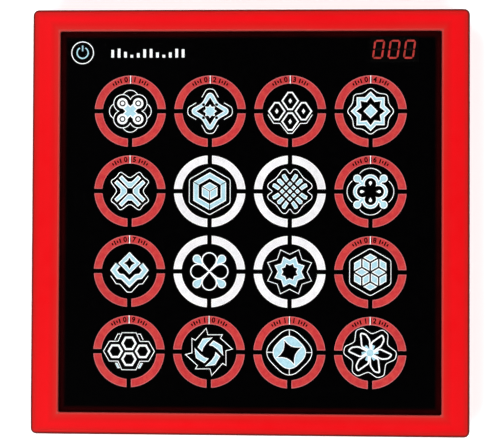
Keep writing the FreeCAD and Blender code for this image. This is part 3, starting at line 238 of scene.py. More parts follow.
def place_in_circle(paint):
    """A point's place from the middle of the touch circle that it lies in, across and up."""
    x, y, _ = paint.axes()
    places = []
    for value, middle in ((x, GRID_MIDDLE.x), (y, GRID_MIDDLE.y)):
        from_edge = paint.math("SUBTRACT", value, middle - GRID / 2 * PITCH)
        in_cell = paint.math("FLOORED_MODULO", from_edge, PITCH)
        places.append(paint.math("SUBTRACT", in_cell, PITCH / 2))
    return places


def near(paint, value, target, width):
    """1 where value is within width of target, fading to 0 at twice that."""
    gap = paint.math("ABSOLUTE", paint.math("SUBTRACT", value, target))
    return paint.fade(gap, width, 2 * width, 1.0, 0.0)


def red_shell():
    """Satin red ABS with a fine moulded grain, and painted shade beside the window and over the outer
    rounding.
    """
    paint = Paint("red_abs_satin")
    x, y, z = paint.axes()
    past = distance_past_window(paint)
    # Painted shade: the red is darkest and dullest at the window's edge, lightest over the middle of the
    # frame.
    across = paint.ramp(paint.fade(past, 0.0, 9 * MM), [
        (0.0, (0.62, 0.018, 0.014)),
        (0.25, (0.68, 0.005, 0.005)),
        (0.6, (0.83, 0.0012, 0.005)),
        (1.0, (0.80, 0.0012, 0.004)),
    ])
    base = paint.mix(paint.drift(22.0, 2.0, 0.0, 0.6), across, (0.74, 0.002, 0.005))
    # Painted shade: darker red over the outer 1 to 4 mm of the top face.
    in_x = paint.math("SUBTRACT", CASE_HALF.x, paint.math("ABSOLUTE", x))
    in_y = paint.math("SUBTRACT", CASE_HALF.y, paint.math("ABSOLUTE", y))
    painted_rim_shade = paint.fade(paint.math("MINIMUM", in_x, in_y), 1.0 * MM, 4.0 * MM, 0.85, 0.0)
    on_top = paint.fade(z, CASE_HALF.z - 3 * MM, CASE_HALF.z - 1 * MM)
    base = paint.mix(paint.math("MULTIPLY", painted_rim_shade, on_top), base, (0.52, 0.009, 0.007))
    # Painted shade: near black-red over the shoulder of the outer rounding, from 0.1 to 2.3 mm below the
    # top.
    shoulder = paint.math("SUBTRACT", CASE_HALF.z, z)
    painted_shoulder_shade = paint.fade(shoulder, 0.08 * MM, 0.48 * MM, 0.0, 0.94)
    painted_shoulder_shade = paint.math("MULTIPLY", painted_shoulder_shade, paint.fade(shoulder, 1.3 * MM, 2.3 * MM, 1.0, 0.0))
    base = paint.mix(painted_shoulder_shade, base, (0.07, 0.005, 0.003))
    flecks = paint.fade(paint.noise(2600.0, 2.0), 0.35, 0.75, 0.0, 0.10)
    colour = paint.mix(flecks, base, (0.46, 0.003, 0.005))
    # Painted highlight: a paler, pinkish line along the window's edge.
    painted_edge_highlight = paint.math("MULTIPLY", near(paint, past, 0.35 * MM, 0.35 * MM), 0.5)
    colour = paint.mix(painted_edge_highlight, colour, (0.46, 0.070, 0.060))
    rough = paint.fade(paint.noise(160.0, 4.0), 0.2, 0.8, 0.34, 0.46)
    grain = paint.bump(paint.noise(3600.0, 2.0), 0.02 * MM, 0.5)
    sink = paint.bump(paint.noise(30.0, 1.0), 0.25 * MM, 0.25, grain)
    return paint.principled(colour, rough, Normal=sink, specular=0.08)


def red_back():
    """Red ABS with the coarser grain of a spark-eroded mould, scuffed low down, with painted shade in its
    grooves.
    """
    paint = Paint("red_abs_textured")
    base = paint.mix(paint.drift(35.0, 3.0), (0.68, 0.002, 0.005), (0.76, 0.003, 0.006))
    pits = paint.cells(1500.0)
    colour = paint.mix(paint.fade(pits, 0.1, 0.75, 0.25, 0.0), base, (0.44, 0.002, 0.004))
    _, _, z = paint.axes()
    low = paint.fade(z, 0.9 * MM, 2.2 * MM, 1.0, 0.0)
    scuff = paint.math("MULTIPLY", low, paint.fade(paint.noise(420.0, 5.0), 0.58, 0.75, 0.0, 0.12))
    colour = paint.mix(scuff, colour, (0.74, 0.10, 0.09))
    # Painted shade: darker deep in the piece's own grooves and recesses.
    colour = paint.mix(paint.painted_recess_shade(1.2 * MM, 0.75), colour, (0.14, 0.001, 0.002))
    rough = paint.fade(paint.noise(240.0, 4.0), 0.2, 0.8, 0.50, 0.66)
    texture = paint.bump(pits, 0.05 * MM, 0.7)
    fine = paint.bump(paint.noise(5200.0, 2.0), 0.012 * MM, 0.6, texture)
    return paint.principled(colour, rough, Normal=fine, specular=0.14)


STRAIGHT_ON = 0.035  # share of the light that the window mirrors when seen straight on
GLAZING = 0.96       # how much that share grows as the view slants


def clear_window():
    """Polished acrylic over the print: clear straight through, a mirror at a slant, and faintly smeared."""
    paint = Paint("acrylic_window")
    wipes = paint.noise(26.0, 4.0, paint.stretched((1.0, 3.5, 1.0)))
    rough = paint.fade(wipes, 0.35, 0.75, 0.015, 0.05)
    ripple = paint.bump(paint.noise(9.0, 1.0), 0.03 * MM, 0.1)
    shine = {"Color": (1.0, 1.0, 1.0), "Roughness": rough, "Normal": ripple}
    gloss = paint.node("ShaderNodeBsdfGlossy", shine)
    clear = paint.node("ShaderNodeBsdfTransparent", {"Color": (0.985, 0.985, 0.98)})
    slant = paint.node("ShaderNodeLayerWeight", {"Blend": 0.5, "Normal": ripple}).outputs["Facing"]
    share = paint.math("MULTIPLY_ADD", paint.math("POWER", slant, 5.0), GLAZING, STRAIGHT_ON)
    pane = paint.node("ShaderNodeMixShader", {0: share, 1: clear.outputs[0], 2: gloss.outputs[0]})
    return paint.show(pane.outputs[0])


def black_film():
    """Black printed film, with a painted reflection of the case's red faintly in its margins."""
    paint = Paint("black_printed_film")
    past = distance_past_window(paint)
    # Painted reflection: the red of the bezel's inner wall, strongest at the window's edge, fading over 3.4
    # mm.
    painted_red_reflection = paint.fade(past, -3.4 * MM, 0.0)
    painted_red_reflection = paint.math("MULTIPLY", painted_red_reflection, paint.fade(paint.noise(60.0, 2.0), 0.25, 0.75, 0.6, 1.0))
    dots = paint.fade(paint.noise(1900.0, 2.0), 0.5, 0.8)
    ground = paint.mix(dots, (0.0003, 0.0003, 0.0004), (0.0012, 0.0008, 0.0012))
    colour = paint.mix(painted_red_reflection, ground, (0.036, 0.0004, 0.0012))
    rough = paint.drift(300.0, 3.0, 0.30, 0.42)
    weave = paint.bump(paint.noise(2800.0, 2.0), 0.004 * MM, 0.4)
    return paint.principled(colour, rough, Normal=weave, specular=0.01)


def lit_ring(name, colour, mottle, edge, glow, whole_top):
    """Backlit ink in a ring: unevenly bright, with a paler line along the edges of every piece.

    A ring with a whole top is parted by the upright slot in its lower half only.
    """
    paint = Paint(name)
    across, up = place_in_circle(paint)
    squares = paint.math("ADD", paint.math("MULTIPLY", across, across), paint.math("MULTIPLY", up, up))
    radius = paint.math("SQRT", squares)
    line = 0.22 * MM
    outer = near(paint, radius, RING_OUTER, line)
    inner = near(paint, radius, RING_INNER, line)
    side = near(paint, paint.math("ABSOLUTE", up), SLOT_HALF, line)
    beside_upright = near(paint, paint.math("ABSOLUTE", across), SLOT_HALF, line)
    on_ring = paint.fade(paint.math("ABSOLUTE", up), RING_INNER * 0.9, RING_INNER * 0.95)
    foot = paint.math("MULTIPLY", beside_upright, on_ring)
    if whole_top:
        foot = paint.math("MULTIPLY", foot, paint.fade(up, -1 * MM, 0.0, 1.0, 0.0))
    rim = paint.math("MAXIMUM", paint.math("MAXIMUM", outer, inner), paint.math("MAXIMUM", side, foot))
    rim = paint.math("MULTIPLY", rim, 0.75)
    body = paint.mix(paint.fade(paint.noise(520.0, 3.0), 0.3, 0.72), colour, mottle)
    shown = paint.mix(rim, body, edge)
    strength = paint.drift(45.0, 1.0, glow * 0.8, glow * 1.15)
    grain = paint.bump(paint.noise(3000.0, 2.0), 0.004 * MM, 0.3)
    return paint.lit(shown, strength, 0.4, Normal=grain)


def ring_red():
    return lit_ring(
        "ring_ink_red", (0.485, 0.029, 0.036), (0.545, 0.052, 0.047), edge=(0.52, 0.17, 0.18), glow=0.28,
        whole_top=True,
    )


def ring_white():
    return lit_ring(
        "ring_ink_white", (0.77, 0.762, 0.790), (0.71, 0.702, 0.735), edge=(0.88, 0.88, 0.88), glow=0.30,
        whole_top=False,
    )


def printed_ink(name, light, dark, glow):
    """A screen-printed ink with a fine mottle, lit a little from behind."""
    paint = Paint(name)
    shown = paint.mix(paint.drift(700.0, 3.0), light, dark)
    strength = paint.drift(80.0, 1.0, glow * 0.85, glow * 1.1)
    grain = paint.bump(paint.noise(3200.0, 2.0), 0.004 * MM, 0.3)
    return paint.lit(shown, strength, 0.42, Normal=grain)


def figure_blue():
    return printed_ink("figure_ink_blue", (0.415, 0.65, 0.745), (0.345, 0.575, 0.67), glow=0.28)


def mark_white():
    return printed_ink("mark_ink_white", (0.88, 0.90, 0.92), (0.80, 0.83, 0.86), glow=0.30)


def plastic(name, light, dark, rough, scale=60.0, grain=2400.0, depth=0.02, specular=0.4):
    """Plain moulded plastic: a slow drift between two shades, uneven sheen and a fine grain."""
    paint = Paint(name)
    colour = paint.mix(paint.drift(scale, 4.0), light, dark)
    specks = paint.fade(paint.noise(grain, 2.0), 0.5, 0.8, 0.0, 0.18)
    colour = paint.mix(specks, colour, tuple(0.6 * part for part in dark))
    sheen = paint.fade(paint.noise(scale * 4, 3.0), 0.25, 0.75, rough * 0.85, rough * 1.15)
    normal = paint.bump(paint.noise(grain, 2.0), depth * MM, 0.5)
    return paint.principled(colour, sheen, Normal=normal, specular=specular)


def tape():
    return plastic(
        "bonding_tape", (0.03, 0.03, 0.034), (0.05, 0.05, 0.054), rough=0.7, scale=200.0, grain=5000.0,
    )


def touch_sheet():
    """Clear conductor film: a fine diamond grid of traces on a greenish, see-through sheet."""
    paint = Paint("touch_film")
    x, y, _ = paint.axes()
    pitch = 4 * MM
    gaps = []
    for operation in ("ADD", "SUBTRACT"):
        step = paint.math("FLOORED_MODULO", paint.math(operation, y, x), pitch)
        from_line = paint.math("ABSOLUTE", paint.math("SUBTRACT", step, pitch / 2))
        gaps.append(paint.fade(from_line, 0.08 * MM, 0.16 * MM))
    trace = paint.math("MINIMUM", gaps[0], gaps[1])
    colour = paint.mix(trace, (0.55, 0.60, 0.52), (0.78, 0.82, 0.79))
    return paint.principled(colour, paint.drift(90.0, 2.0, 0.12, 0.22), Alpha=0.35)


def striped(name, ground, stripe, pitch, share, rough):
    """A ground colour with lines of another across X: the tracks of a flat tail, or a stripe on a sleeve."""
    paint = Paint(name)
    step = paint.math("FLOORED_MODULO", paint.axes()[0], pitch)
    line = paint.fade(step, pitch * share, pitch * (share + 0.08), 1.0, 0.0)
    worn = paint.drift(500.0, 3.0, 0.75, 1.0)
    colour = paint.mix(paint.math("MULTIPLY", line, worn), ground, stripe)
    sheen = paint.drift(300.0, 3.0, rough * 0.85, rough * 1.15)
    normal = paint.bump(line, 0.02 * MM, 0.5)
    return paint.principled(colour, sheen, Normal=normal)


def flex_tail():
    return striped(
        "flex_tail", (0.50, 0.22, 0.04), (0.62, 0.30, 0.10), pitch=1.0 * MM, share=0.5, rough=0.35,
    )


def connector_white():
    return plastic("nylon_connector", (0.72, 0.68, 0.58), (0.66, 0.61, 0.52), rough=0.45, scale=300.0)


def baffle_white():
    return plastic("baffle_abs", (0.82, 0.82, 0.79), (0.76, 0.76, 0.73), rough=0.5)


def diffuser():
    """Milky acrylic that lets the lamps' light spread."""
    paint = Paint("milky_acrylic")
    colour = paint.mix(paint.drift(220.0, 3.0), (0.86, 0.86, 0.84), (0.80, 0.80, 0.80))
    sheen = paint.drift(500.0, 3.0, 0.32, 0.45)
    return paint.principled(
        colour, sheen, Subsurface_Weight=0.5, Subsurface_Scale=2 * MM, Subsurface_Radius=(1.0, 1.0, 1.0),
    )


def led():
    """A chip lamp: a white package with patches of yellow phosphor."""
    paint = Paint("chip_lamp")
    glow = paint.fade(paint.noise(900.0, 2.0), 0.4, 0.6)
    colour = paint.mix(glow, (0.84, 0.80, 0.66), (0.86, 0.66, 0.16))
    return paint.principled(colour, paint.drift(1500.0, 2.0, 0.25, 0.4))


def board_green():
    """Green solder mask with paler copper tracks under it, running in steps both ways."""
    paint = Paint("solder_mask")
    bricks = paint.node(
        "ShaderNodeTexBrick", {"Vector": paint.place, "Scale": 160.0, "Mortar Size": 0.035},
        offset=0.37, squash=0.6,
    ).outputs["Fac"]
    islands = paint.fade(paint.noise(48.0, 2.0), 0.47, 0.53)
    track = paint.math("MULTIPLY", bricks, islands)
    colour = paint.mix(track, (0.008, 0.085, 0.030), (0.030, 0.20, 0.080))
    colour = paint.mix(paint.fade(paint.noise(900.0, 3.0), 0.4, 0.8, 0.0, 0.3), colour, (0.004, 0.05, 0.02))
    normal = paint.bump(track, 0.03 * MM, 0.6)
    return paint.principled(colour, paint.drift(600.0, 3.0, 0.22, 0.34), Normal=normal)


def metal(name, light, dark, rough, scale):
    """Bare metal: uneven brightness, dull spots, and painted shade in recesses such as a screw's cross."""
    paint = Paint(name)
    mottle = paint.noise(scale, 4.0)
    colour = paint.mix(paint.fade(mottle, 0.3, 0.7), light, dark)
    # Painted shade: near black deep in the piece's own recesses.
    colour = paint.mix(paint.painted_recess_shade(1.5 * MM, 0.9), colour, (0.03, 0.03, 0.032))
    spots = paint.fade(paint.noise(scale * 0.3, 4.0), 0.55, 0.75)
    sheen = paint.fade(spots, 0.0, 1.0, rough, rough + 0.22)
    normal = paint.bump(mottle, 0.01 * MM, 0.4)
    return paint.principled(colour, sheen, Normal=normal, Metallic=1.0)


def screw_steel():
    return metal("zinc_plated_steel", (0.66, 0.66, 0.67), (0.50, 0.51, 0.53), rough=0.28, scale=2600.0)


def chip_black():
    return plastic(
        "chip_package", (0.022, 0.022, 0.024), (0.032, 0.032, 0.035), rough=0.55, scale=300.0, grain=4000.0,
    )


def tin():
    return metal("tinned_metal", (0.76, 0.76, 0.75), (0.62, 0.62, 0.62), rough=0.30, scale=1500.0)


def capacitor_sleeve():
    return striped(
        "capacitor_sleeve", (0.010, 0.020, 0.075), (0.45, 0.47, 0.50), pitch=5.0 * MM, share=0.12, rough=0.3,
    )


def display_black():
    return plastic(
        "display_shell", (0.0006, 0.0005, 0.0005), (0.0012, 0.0008, 0.0008), rough=0.5, scale=200.0,
        specular=0.02,
    )


def segment(name, hot, cool, glow):
    """A display segment, unevenly bright."""
    paint = Paint(name)
    patch = paint.fade(paint.noise(620.0, 2.0), 0.32, 0.68)
    shown = paint.mix(patch, hot, cool)
    return paint.lit(shown, glow, paint.drift(900.0, 2.0, 0.3, 0.45))


def segment_lit():
    return segment("segment_lit", (0.46, 0.040, 0.038), (0.26, 0.030, 0.022), glow=0.40)


def segment_dark():
    return segment("segment_dark", (0.006, 0.0010, 0.0014), (0.010, 0.0016, 0.0020), glow=0.0)


def foot_rubber():
    return plastic(
        "foot_rubber", (0.020, 0.020, 0.022), (0.034, 0.034, 0.036), rough=0.8, scale=200.0, grain=1800.0,
        depth=0.05, specular=0.25,
    )


def cell_jacket():
    """A cell's printed foil jacket: dark green, with a gold band round its positive end."""
    paint = Paint("cell_jacket")
    x, _, _ = paint.axes()
    positive_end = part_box("battery_cell_1")[1].x
    gold = paint.fade(x, positive_end - 13 * MM, positive_end - 12.6 * MM)
    print_dots = paint.fade(paint.noise(900.0, 3.0), 0.35, 0.7, 0.0, 0.35)
    colour = paint.mix(gold, (0.010, 0.10, 0.045), (0.62, 0.40, 0.12))
    colour = paint.mix(print_dots, colour, (0.03, 0.06, 0.04))
    sheen = paint.drift(260.0, 3.0, 0.24, 0.36)
    normal = paint.bump(paint.noise(320.0, 2.0), 0.03 * MM, 0.4)
    return paint.principled(colour, sheen, Normal=normal, Metallic=0.55)


def spring_steel():
    return metal("nickel_plate", (0.74, 0.72, 0.66), (0.58, 0.56, 0.52), rough=0.16, scale=3200.0)


def lead_red():
    return plastic("pvc_lead", (0.42, 0.010, 0.010), (0.34, 0.008, 0.008), rough=0.42, scale=400.0)


def foam_black():
    """Closed-cell foam: small bubbles cut open."""
    paint = Paint("foam")
    bubbles = paint.cells(2600.0)
    colour = paint.mix(paint.fade(bubbles, 0.1, 0.7), (0.010, 0.010, 0.012), (0.050, 0.050, 0.054))
    normal = paint.bump(bubbles, 0.15 * MM, 0.9)
    return paint.principled(colour, paint.drift(800.0, 2.0, 0.8, 0.95), Normal=normal, specular=0.2)


def speaker_paper():
    """Pressed paper: long pale fibres in dark pulp."""
    paint = Paint("cone_paper")
    fibres = paint.noise(1400.0, 5.0, paint.stretched((1.0, 0.25, 1.0)))
    colour = paint.mix(paint.fade(fibres, 0.4, 0.75), (0.030, 0.028, 0.026), (0.12, 0.115, 0.10))
    normal = paint.bump(fibres, 0.06 * MM, 0.7)
    return paint.principled(colour, paint.drift(500.0, 2.0, 0.82, 0.95), Normal=normal, specular=0.2)


def magnet():
    return metal("ferrite", (0.13, 0.13, 0.14), (0.08, 0.08, 0.085), rough=0.5, scale=900.0)


def knob_black():
    return plastic("acetal_knob", (0.018, 0.018, 0.020), (0.028, 0.028, 0.030), rough=0.38, scale=500.0)


# One function for each material slot of the record, named after it.
FINISHES = (
    red_shell, red_back, clear_window, tape, black_film, ring_red, ring_white, figure_blue, mark_white,
    touch_sheet, flex_tail, connector_white, baffle_white, diffuser, led, board_green, screw_steel,
    chip_black, tin, capacitor_sleeve, display_black, segment_lit, segment_dark, foot_rubber, cell_jacket,
    spring_steel, lead_red, foam_black, speaker_paper, magnet, knob_black,
)
materials = {finish.__name__: finish() for finish in FINISHES}


def finish_cad_nodes():
    """Gives every CAD node the material of its slot in the record."""
    for part in frame["record"]["subparts"]:
        node = frame["nodes"][part["node"]]
        for material_slot in node.material_slots:
            material_slot.material = materials[part["material_slot"]]


# ------------ outlines, in millimetres round a middle


def polar(radius, angle):
    """The point at a radius and an angle in degrees, anticlockwise from +X."""
    turn = math.radians(angle)
    return Vector((radius * math.cos(turn), radius * math.sin(turn)))


def turns(count, start=0.0):
    """Angles spaced evenly round a turn."""
    return [start + 360 * i / count for i in range(count)]


def path(*pairs):
    """A line or an outline through plain pairs of numbers."""
    return [Vector(pair) for pair in pairs]


def polygon(sides, radius, turn=90.0):
    """A regular polygon's corners, the first of them at the angle turn."""
    return [polar(radius, angle) for angle in turns(sides, turn)]


def circle(radius, steps=40):
    return polygon(steps, radius)


def star(points, outer, inner, turn=90.0):
    """A star's corners, with a point at the angle turn."""
    return [polar(inner if i % 2 else outer, turn + 180 * i / points) for i in range(2 * points)]


def arc(radius, start, end, steps=12):
    return [polar(radius, start + (end - start) * i / steps) for i in range(steps + 1)]


def moved(points, middle=(0, 0), turn=0.0):
    """The points turned by some degrees and then moved."""
    spin = Matrix.Rotation(math.radians(turn), 2)
    return [spin @ Vector(point) + Vector(middle) for point in points]


def repeated(count, points, start=0.0):
    """An outline that has the same points in each part of a turn."""
    return [point for turn in turns(count, start) for point in moved(points, turn=turn)]


def flipped(points, across=-1, up=1):
    """The mirror image of some points in reverse order, so that a loop stays anticlockwise."""
    return [Vector((across * x, up * y)) for x, y in reversed(points)]


def mirrored(*points):
    """Points for the right half, with their mirror image put in front, as one line from left to right."""
    left = flipped(points)
    return (left[:-1] if left[-1].x == 0 else left) + path(*points)


def around(count, distance, radius, turn):
    """Circles (x, y, radius) spaced evenly round the middle."""
    return [(*polar(distance, angle), radius) for angle in turns(count, turn)]


def union(circles, steps=144):
    """The outline round several circles that together surround the middle."""
    outline = []
    for i in range(steps):
        way = polar(1, 90 + 360 * i / steps)
        reach = 0.0
        for x, y, radius in circles:
            along = way.dot(Vector((x, y)))
            spare = radius ** 2 - (x * x + y * y - along ** 2)
            if spare > 0:
                reach = max(reach, along + math.sqrt(spare))
        outline.append(way * reach)
    return outline


def rounded(points, radius, closed=True, steps=5):
    """The points with each corner replaced by a smooth curve that starts a radius before it."""
    made = []
    count = len(points)
    for i, corner in enumerate(points):
        if not closed and i in (0, count - 1):
            made.append(corner)
            continue
        before = points[i - 1] - corner
        after = points[(i + 1) % count] - corner
        start = corner + before * min(radius / before.length, 0.46)
        end = corner + after * min(radius / after.length, 0.46)
        for step in range(steps + 1):
            t = step / steps
            made.append(start * (1 - t) ** 2 + corner * 2 * t * (1 - t) + end * t ** 2)
    return made


def offset(points, by, closed=True):
    """The points moved to the right of the way they run, with mitred corners: outwards if anticlockwise."""
    made = []
    count = len(points)

    def right_of(first, second):
        way = (second - first).normalized()
        return Vector((way.y, -way.x))

    for i, here in enumerate(points):
        before = right_of(points[i - 1], here)
        after = right_of(here, points[(i + 1) % count])
        if not closed and i == 0:
            before = after
        if not closed and i == count - 1:
            after = before
        mitre = (before + after) / max(0.3, 1 + before.dot(after))
        made.append(here + mitre * by)
    return made


def drop(distance, radius, steps=24):
    """A teardrop with its point at the middle and its round end at a distance up from it."""
    open_angle = math.degrees(math.acos(radius / distance))
    middle = Vector((0, distance))
    return [Vector((0, 0))] + [p + middle for p in arc(radius, -90 + open_angle, 270 - open_angle, steps)]


# ------------ printing


INKS = {"blue": "figure_blue", "white": "mark_white", "black": "black_film"}
THIN = 0.35          # a fine line, in millimetres
EDGE = 0.42          # the white border of a blue shape
TEXT_SIZE = 1.37     # font size of text whose numbers are 1 high
TEXT_WEIGHT = 0.045  # how far the numbers' strokes are thickened, as a share of their height


class Print:
    """Collects flat shapes in some inks on a level face. A shape at a higher level lies over a lower one.

    The inks are material slots by name. The shapes rise from one height to another, which is lower for marks
    on a face that looks down. A mark on such a face is read from below, so its numbers are mirrored.
    """

    def __init__(self, name, slots, floor, top):
        self.name = name
        self.slots = slots
        self.floor = floor
        self.top = top
        self.inks = {ink: bmesh.new() for ink in slots}
        self.middle = Vector((0, 0))

    def height(self, level):
        """How far a level rises from the face."""
        return (self.top - self.floor) * (level + 1) / INK_LEVELS

    def corners(self, ink, level, points):
        """New corners of an ink's mesh at the foot and the head of some points, as two lists."""
        places = [self.middle + Vector(point) * MM for point in points]
        heights = (self.floor, self.floor + self.height(level))
        return [[self.inks[ink].verts.new((*place, z)) for place in places] for z in heights]

    def fill(self, ink, level, loop):
        """A prism over an anticlockwise loop."""
        low, high = self.corners(ink, level, loop)
        faces = self.inks[ink].faces
        faces.new(high)
        faces.new(low[::-1])
        for i in range(len(loop)):
            faces.new((low[i - 1], low[i], high[i], high[i - 1]))

    def band(self, ink, level, right, left, closed=True):
        """A prism between two lines that run side by side and have as many points, the right one first."""
        edges = [*self.corners(ink, level, right), *reversed(self.corners(ink, level, left))]
        faces = self.inks[ink].faces
        for i in range(0 if closed else 1, len(right)):
            for edge, following in zip(edges, edges[1:] + edges[:1]):
                faces.new((edge[i - 1], edge[i], following[i], following[i - 1]))
        if not closed:
            faces.new([edge[0] for edge in edges])
            faces.new([edge[-1] for edge in reversed(edges)])

    def outline(self, ink, level, loop, width=THIN):
        """A line of even width along a closed, anticlockwise loop."""
        self.band(ink, level, offset(loop, width / 2), offset(loop, -width / 2))

    def stroke(self, ink, level, points, width=THIN):
        """A line of even width along open points, with square ends."""
        points = path(*points)
        right = offset(points, width / 2, closed=False)
        left = offset(points, -width / 2, closed=False)
        self.band(ink, level, right, left, closed=False)

    def bordered(self, level, loop, border=EDGE):
        """A blue shape with a white border inside its outline."""
        self.fill("white", level, loop)
        self.fill("blue", level + 1, offset(loop, -border))

    def hollow(self, level, outer, inner):
        """A white shape with a black one over it."""
        self.fill("white", level, outer)
        self.fill("black", level + 1, inner)

    def text(self, ink, level, words, height, middle, turn=0.0):
        """Plain numbers, with the middle of the line at a point."""
        curve = bpy.data.curves.new("number", "FONT")
        curve.body = words
        curve.size = height * TEXT_SIZE
        curve.align_x, curve.align_y = "CENTER", "CENTER"
        curve.resolution_u = 3
        curve.offset = height * TEXT_WEIGHT
        rise = self.height(level)
        curve.extrude = abs(rise) / 2 / MM
        stand_in = bpy.data.objects.new("number", curve)
        mesh = bpy.data.meshes.new_from_object(stand_in)
        place = Matrix.Translation((*(self.middle + Vector(middle) * MM), self.floor + rise / 2))
        mirror = Matrix.Diagonal((-MM if rise < 0 else MM, MM, MM, 1))
        mesh.transform(place @ Matrix.Rotation(math.radians(turn), 4, "Z") @ mirror)
        self.inks[ink].from_mesh(mesh)
        bpy.data.batch_remove((stand_in, curve, mesh))

    def finish(self, body, node=None):
        """Makes one piece of each ink that was used. They ride on a body, and may stand for a CAD node."""
        for ink, mesh in self.inks.items():
            if not mesh.faces:
                continue
            mesh.normal_update()
            bmesh.ops.triangulate(mesh, faces=mesh.faces[:], ngon_method="EAR_CLIP")
            bmesh.ops.recalc_face_normals(mesh, faces=mesh.faces[:])
            data = bpy.data.meshes.new(f"{self.name}_{ink}")
            mesh.to_mesh(data)
            mesh.free()
            piece = add(data.name, data)
            data.materials.append(materials[self.slots[ink]])
            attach(piece, body)
            if node is not None:
                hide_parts(node)


# ------------ figures


def cross(half_width, reach):
    """A cross with its four arms along the diagonals."""
    return repeated(4, [(half_width, half_width), (half_width, reach), (-half_width, reach)], 45)


def four_rings(ink):
    """Four white rings on the ends of a blue cross, in a line that loops round them."""
    ends = around(4, 5.2, 4.1, 45)
    ink.outline("white", 0, union(ends))
    ink.outline("white", 1, union(ends + around(4, 6.0, 3.8, 0)))
    ink.fill("white", 2, cross(1.65, 4.2))
    ink.fill("blue", 3, cross(1.15, 4.0))
    for turn in turns(4, 45):
        middle = polar(5.2, turn)
        ink.fill("white", 4, moved(circle(2.45), middle))
        ink.band("black", 5, moved(circle(1.42), middle), moved(circle(0.85), middle))


def star_in_ring(ink):
    """An eight-pointed star in a thick ring with four blunt tips, with a fine arch over each tip."""
    arch = path((3.9, 6.5), (2.9, 8.2), (1.7, 10.4), (-1.7, 10.4), (-2.9, 8.2), (-3.9, 6.5))
    for turn in turns(4):
        ink.stroke("white", 0, moved(rounded(arch, 1.7, False), turn=turn))
    ink.bordered(0, rounded(repeated(4, [(3.75, 3.75), (1.1, 8.6), (-1.1, 8.6)]), 1.5))
    ink.hollow(2, star(4, 7.0, 3.9), star(4, 6.4, 3.5))
    for turn in turns(4, 45):
        ink.fill("black", 3, moved(circle(0.7, 20), polar(4.3, turn)))
    ink.bordered(4, star(8, 3.2, 2.15), 0.32)


def four_diamonds(ink):
    """Four long diamonds with cut tips, each round a small one, over a line that follows their foot."""
    diamond = path((3.7, 0), (1.0, 3.9), (-1.0, 3.9), (-3.7, 0), (-1.0, -3.9), (1.0, -3.9))
    for middle in ((0, 4.8), (0, -4.8), (6.2, 0), (-6.2, 0)):
        ink.outline("white", 0, moved(diamond, middle), 0.72)
        ink.fill("white", 0, moved([(0.85, 0), (0, 1.25), (-0.85, 0), (0, -1.25)], middle))
    ink.stroke("white", 0, mirrored((1.1, -10.3), (4.7, -5.7), (7.7, -5.6), (10.3, -1.6)))


def square_star(ink):
    """A ring in the shape of two crossed squares, with a diamond in its middle and a wavy line round it."""
    ink.outline("white", 0, rounded(star(8, 11.2, 8.9), 1.9))
    ink.bordered(0, star(8, 9.2, 7.0))
    ink.hollow(2, star(8, 7.2, 5.2), star(8, 6.6, 4.6))
    ink.bordered(4, polygon(4, 3.3))


def four_chevrons(ink):
    """Four chevrons round a small black square that open outwards, in an outlined cross."""
    line = repeated(4, [(4.15, 4.15), (3.3, 9.8), (0, 9.0), (-3.3, 9.8)], 45)
    ink.outline("white", 0, rounded(line, 1.5))
    half = path((0.9, 1.4), (5.2, 6.0), (3.8, 7.3), (0.9, 4.4))
    chevron = half + flipped(half)
    for turn in turns(4):
        ink.bordered(0, moved(chevron, turn=turn))


def cube_in_hexagon(ink):
    """A cube seen along its diagonal, in a thick hexagon and a fine one."""
    ink.outline("white", 0, rounded(polygon(6, 11.0), 1.0))
    ink.bordered(0, polygon(6, 8.8))
    ink.hollow(2, polygon(6, 6.4), polygon(6, 5.95))
    ink.fill("white", 4, polygon(6, 4.2))
    for turn in turns(3, 90):
        face = [Vector((0, 0)), polar(4.2, turn - 60), polar(4.2, turn), polar(4.2, turn + 60)]
        ink.fill("blue", 5, offset(face, -0.5))
    for turn in turns(3, -90):
        ink.stroke("black", 6, [Vector((0, 0)), polar(4.3, turn)], 0.34)
        ink.stroke("black", 4, [polar(6.0, turn), polar(8.9, turn)], 0.34)


def lattice(ink):
    """A woven square on its corner: nine small squares with three bars on each side, in a notched line."""
    line = repeated(4, [(6.3, 6.3), (3.5, 10.1), (1.8, 10.4), (0, 7.9), (-1.8, 10.4), (-3.5, 10.1)])
    ink.outline("white", 0, rounded(line, 0.9))
    square = path((0.82, -0.82), (0.82, 0.82), (-0.82, 0.82), (-0.82, -0.82))
    step = 2.5
    for across in (-step, 0, step):
        for up in (-step, 0, step):
            ink.bordered(0, moved(moved(square, (across, up)), turn=45), 0.26)
        lean = 0.22 * across
        bar = path((0.86, -1.6), (1.0 + lean, 1.5), (0.5 * lean, 2.1), (lean - 1.0, 1.5), (-0.86, -1.6))
        for turn in turns(4, 45):
            ink.bordered(0, moved(moved(bar, (1.05 * across, 5.9)), turn=turn), 0.3)


def quatrefoil(ink):
    """A four-lobed ring with four dots at its corners and four drops inside it."""
    ink.outline("white", 0, union(around(4, 4.6, 6.2, 0)))
    for turn in turns(4, 45):
        middle = polar(8.6, turn)
        ink.fill("black", 1, moved(circle(2.6), middle))
        ink.stroke("white", 2, [polar(4.9, turn), middle], 1.8)
        ink.bordered(3, moved(circle(1.85), middle))
        ink.stroke("blue", 5, [polar(4.9, turn), polar(8.0, turn)], 1.0)
    ink.bordered(3, union(around(4, 4.1, 3.9, 0)))
    ink.hollow(5, union(around(4, 3.6, 3.1, 0)), union(around(4, 3.6, 2.65, 0)))
    for turn in turns(4):
        ink.fill("white", 7, moved(moved(drop(1.4, 0.72), (0, 2.7)), turn=turn))


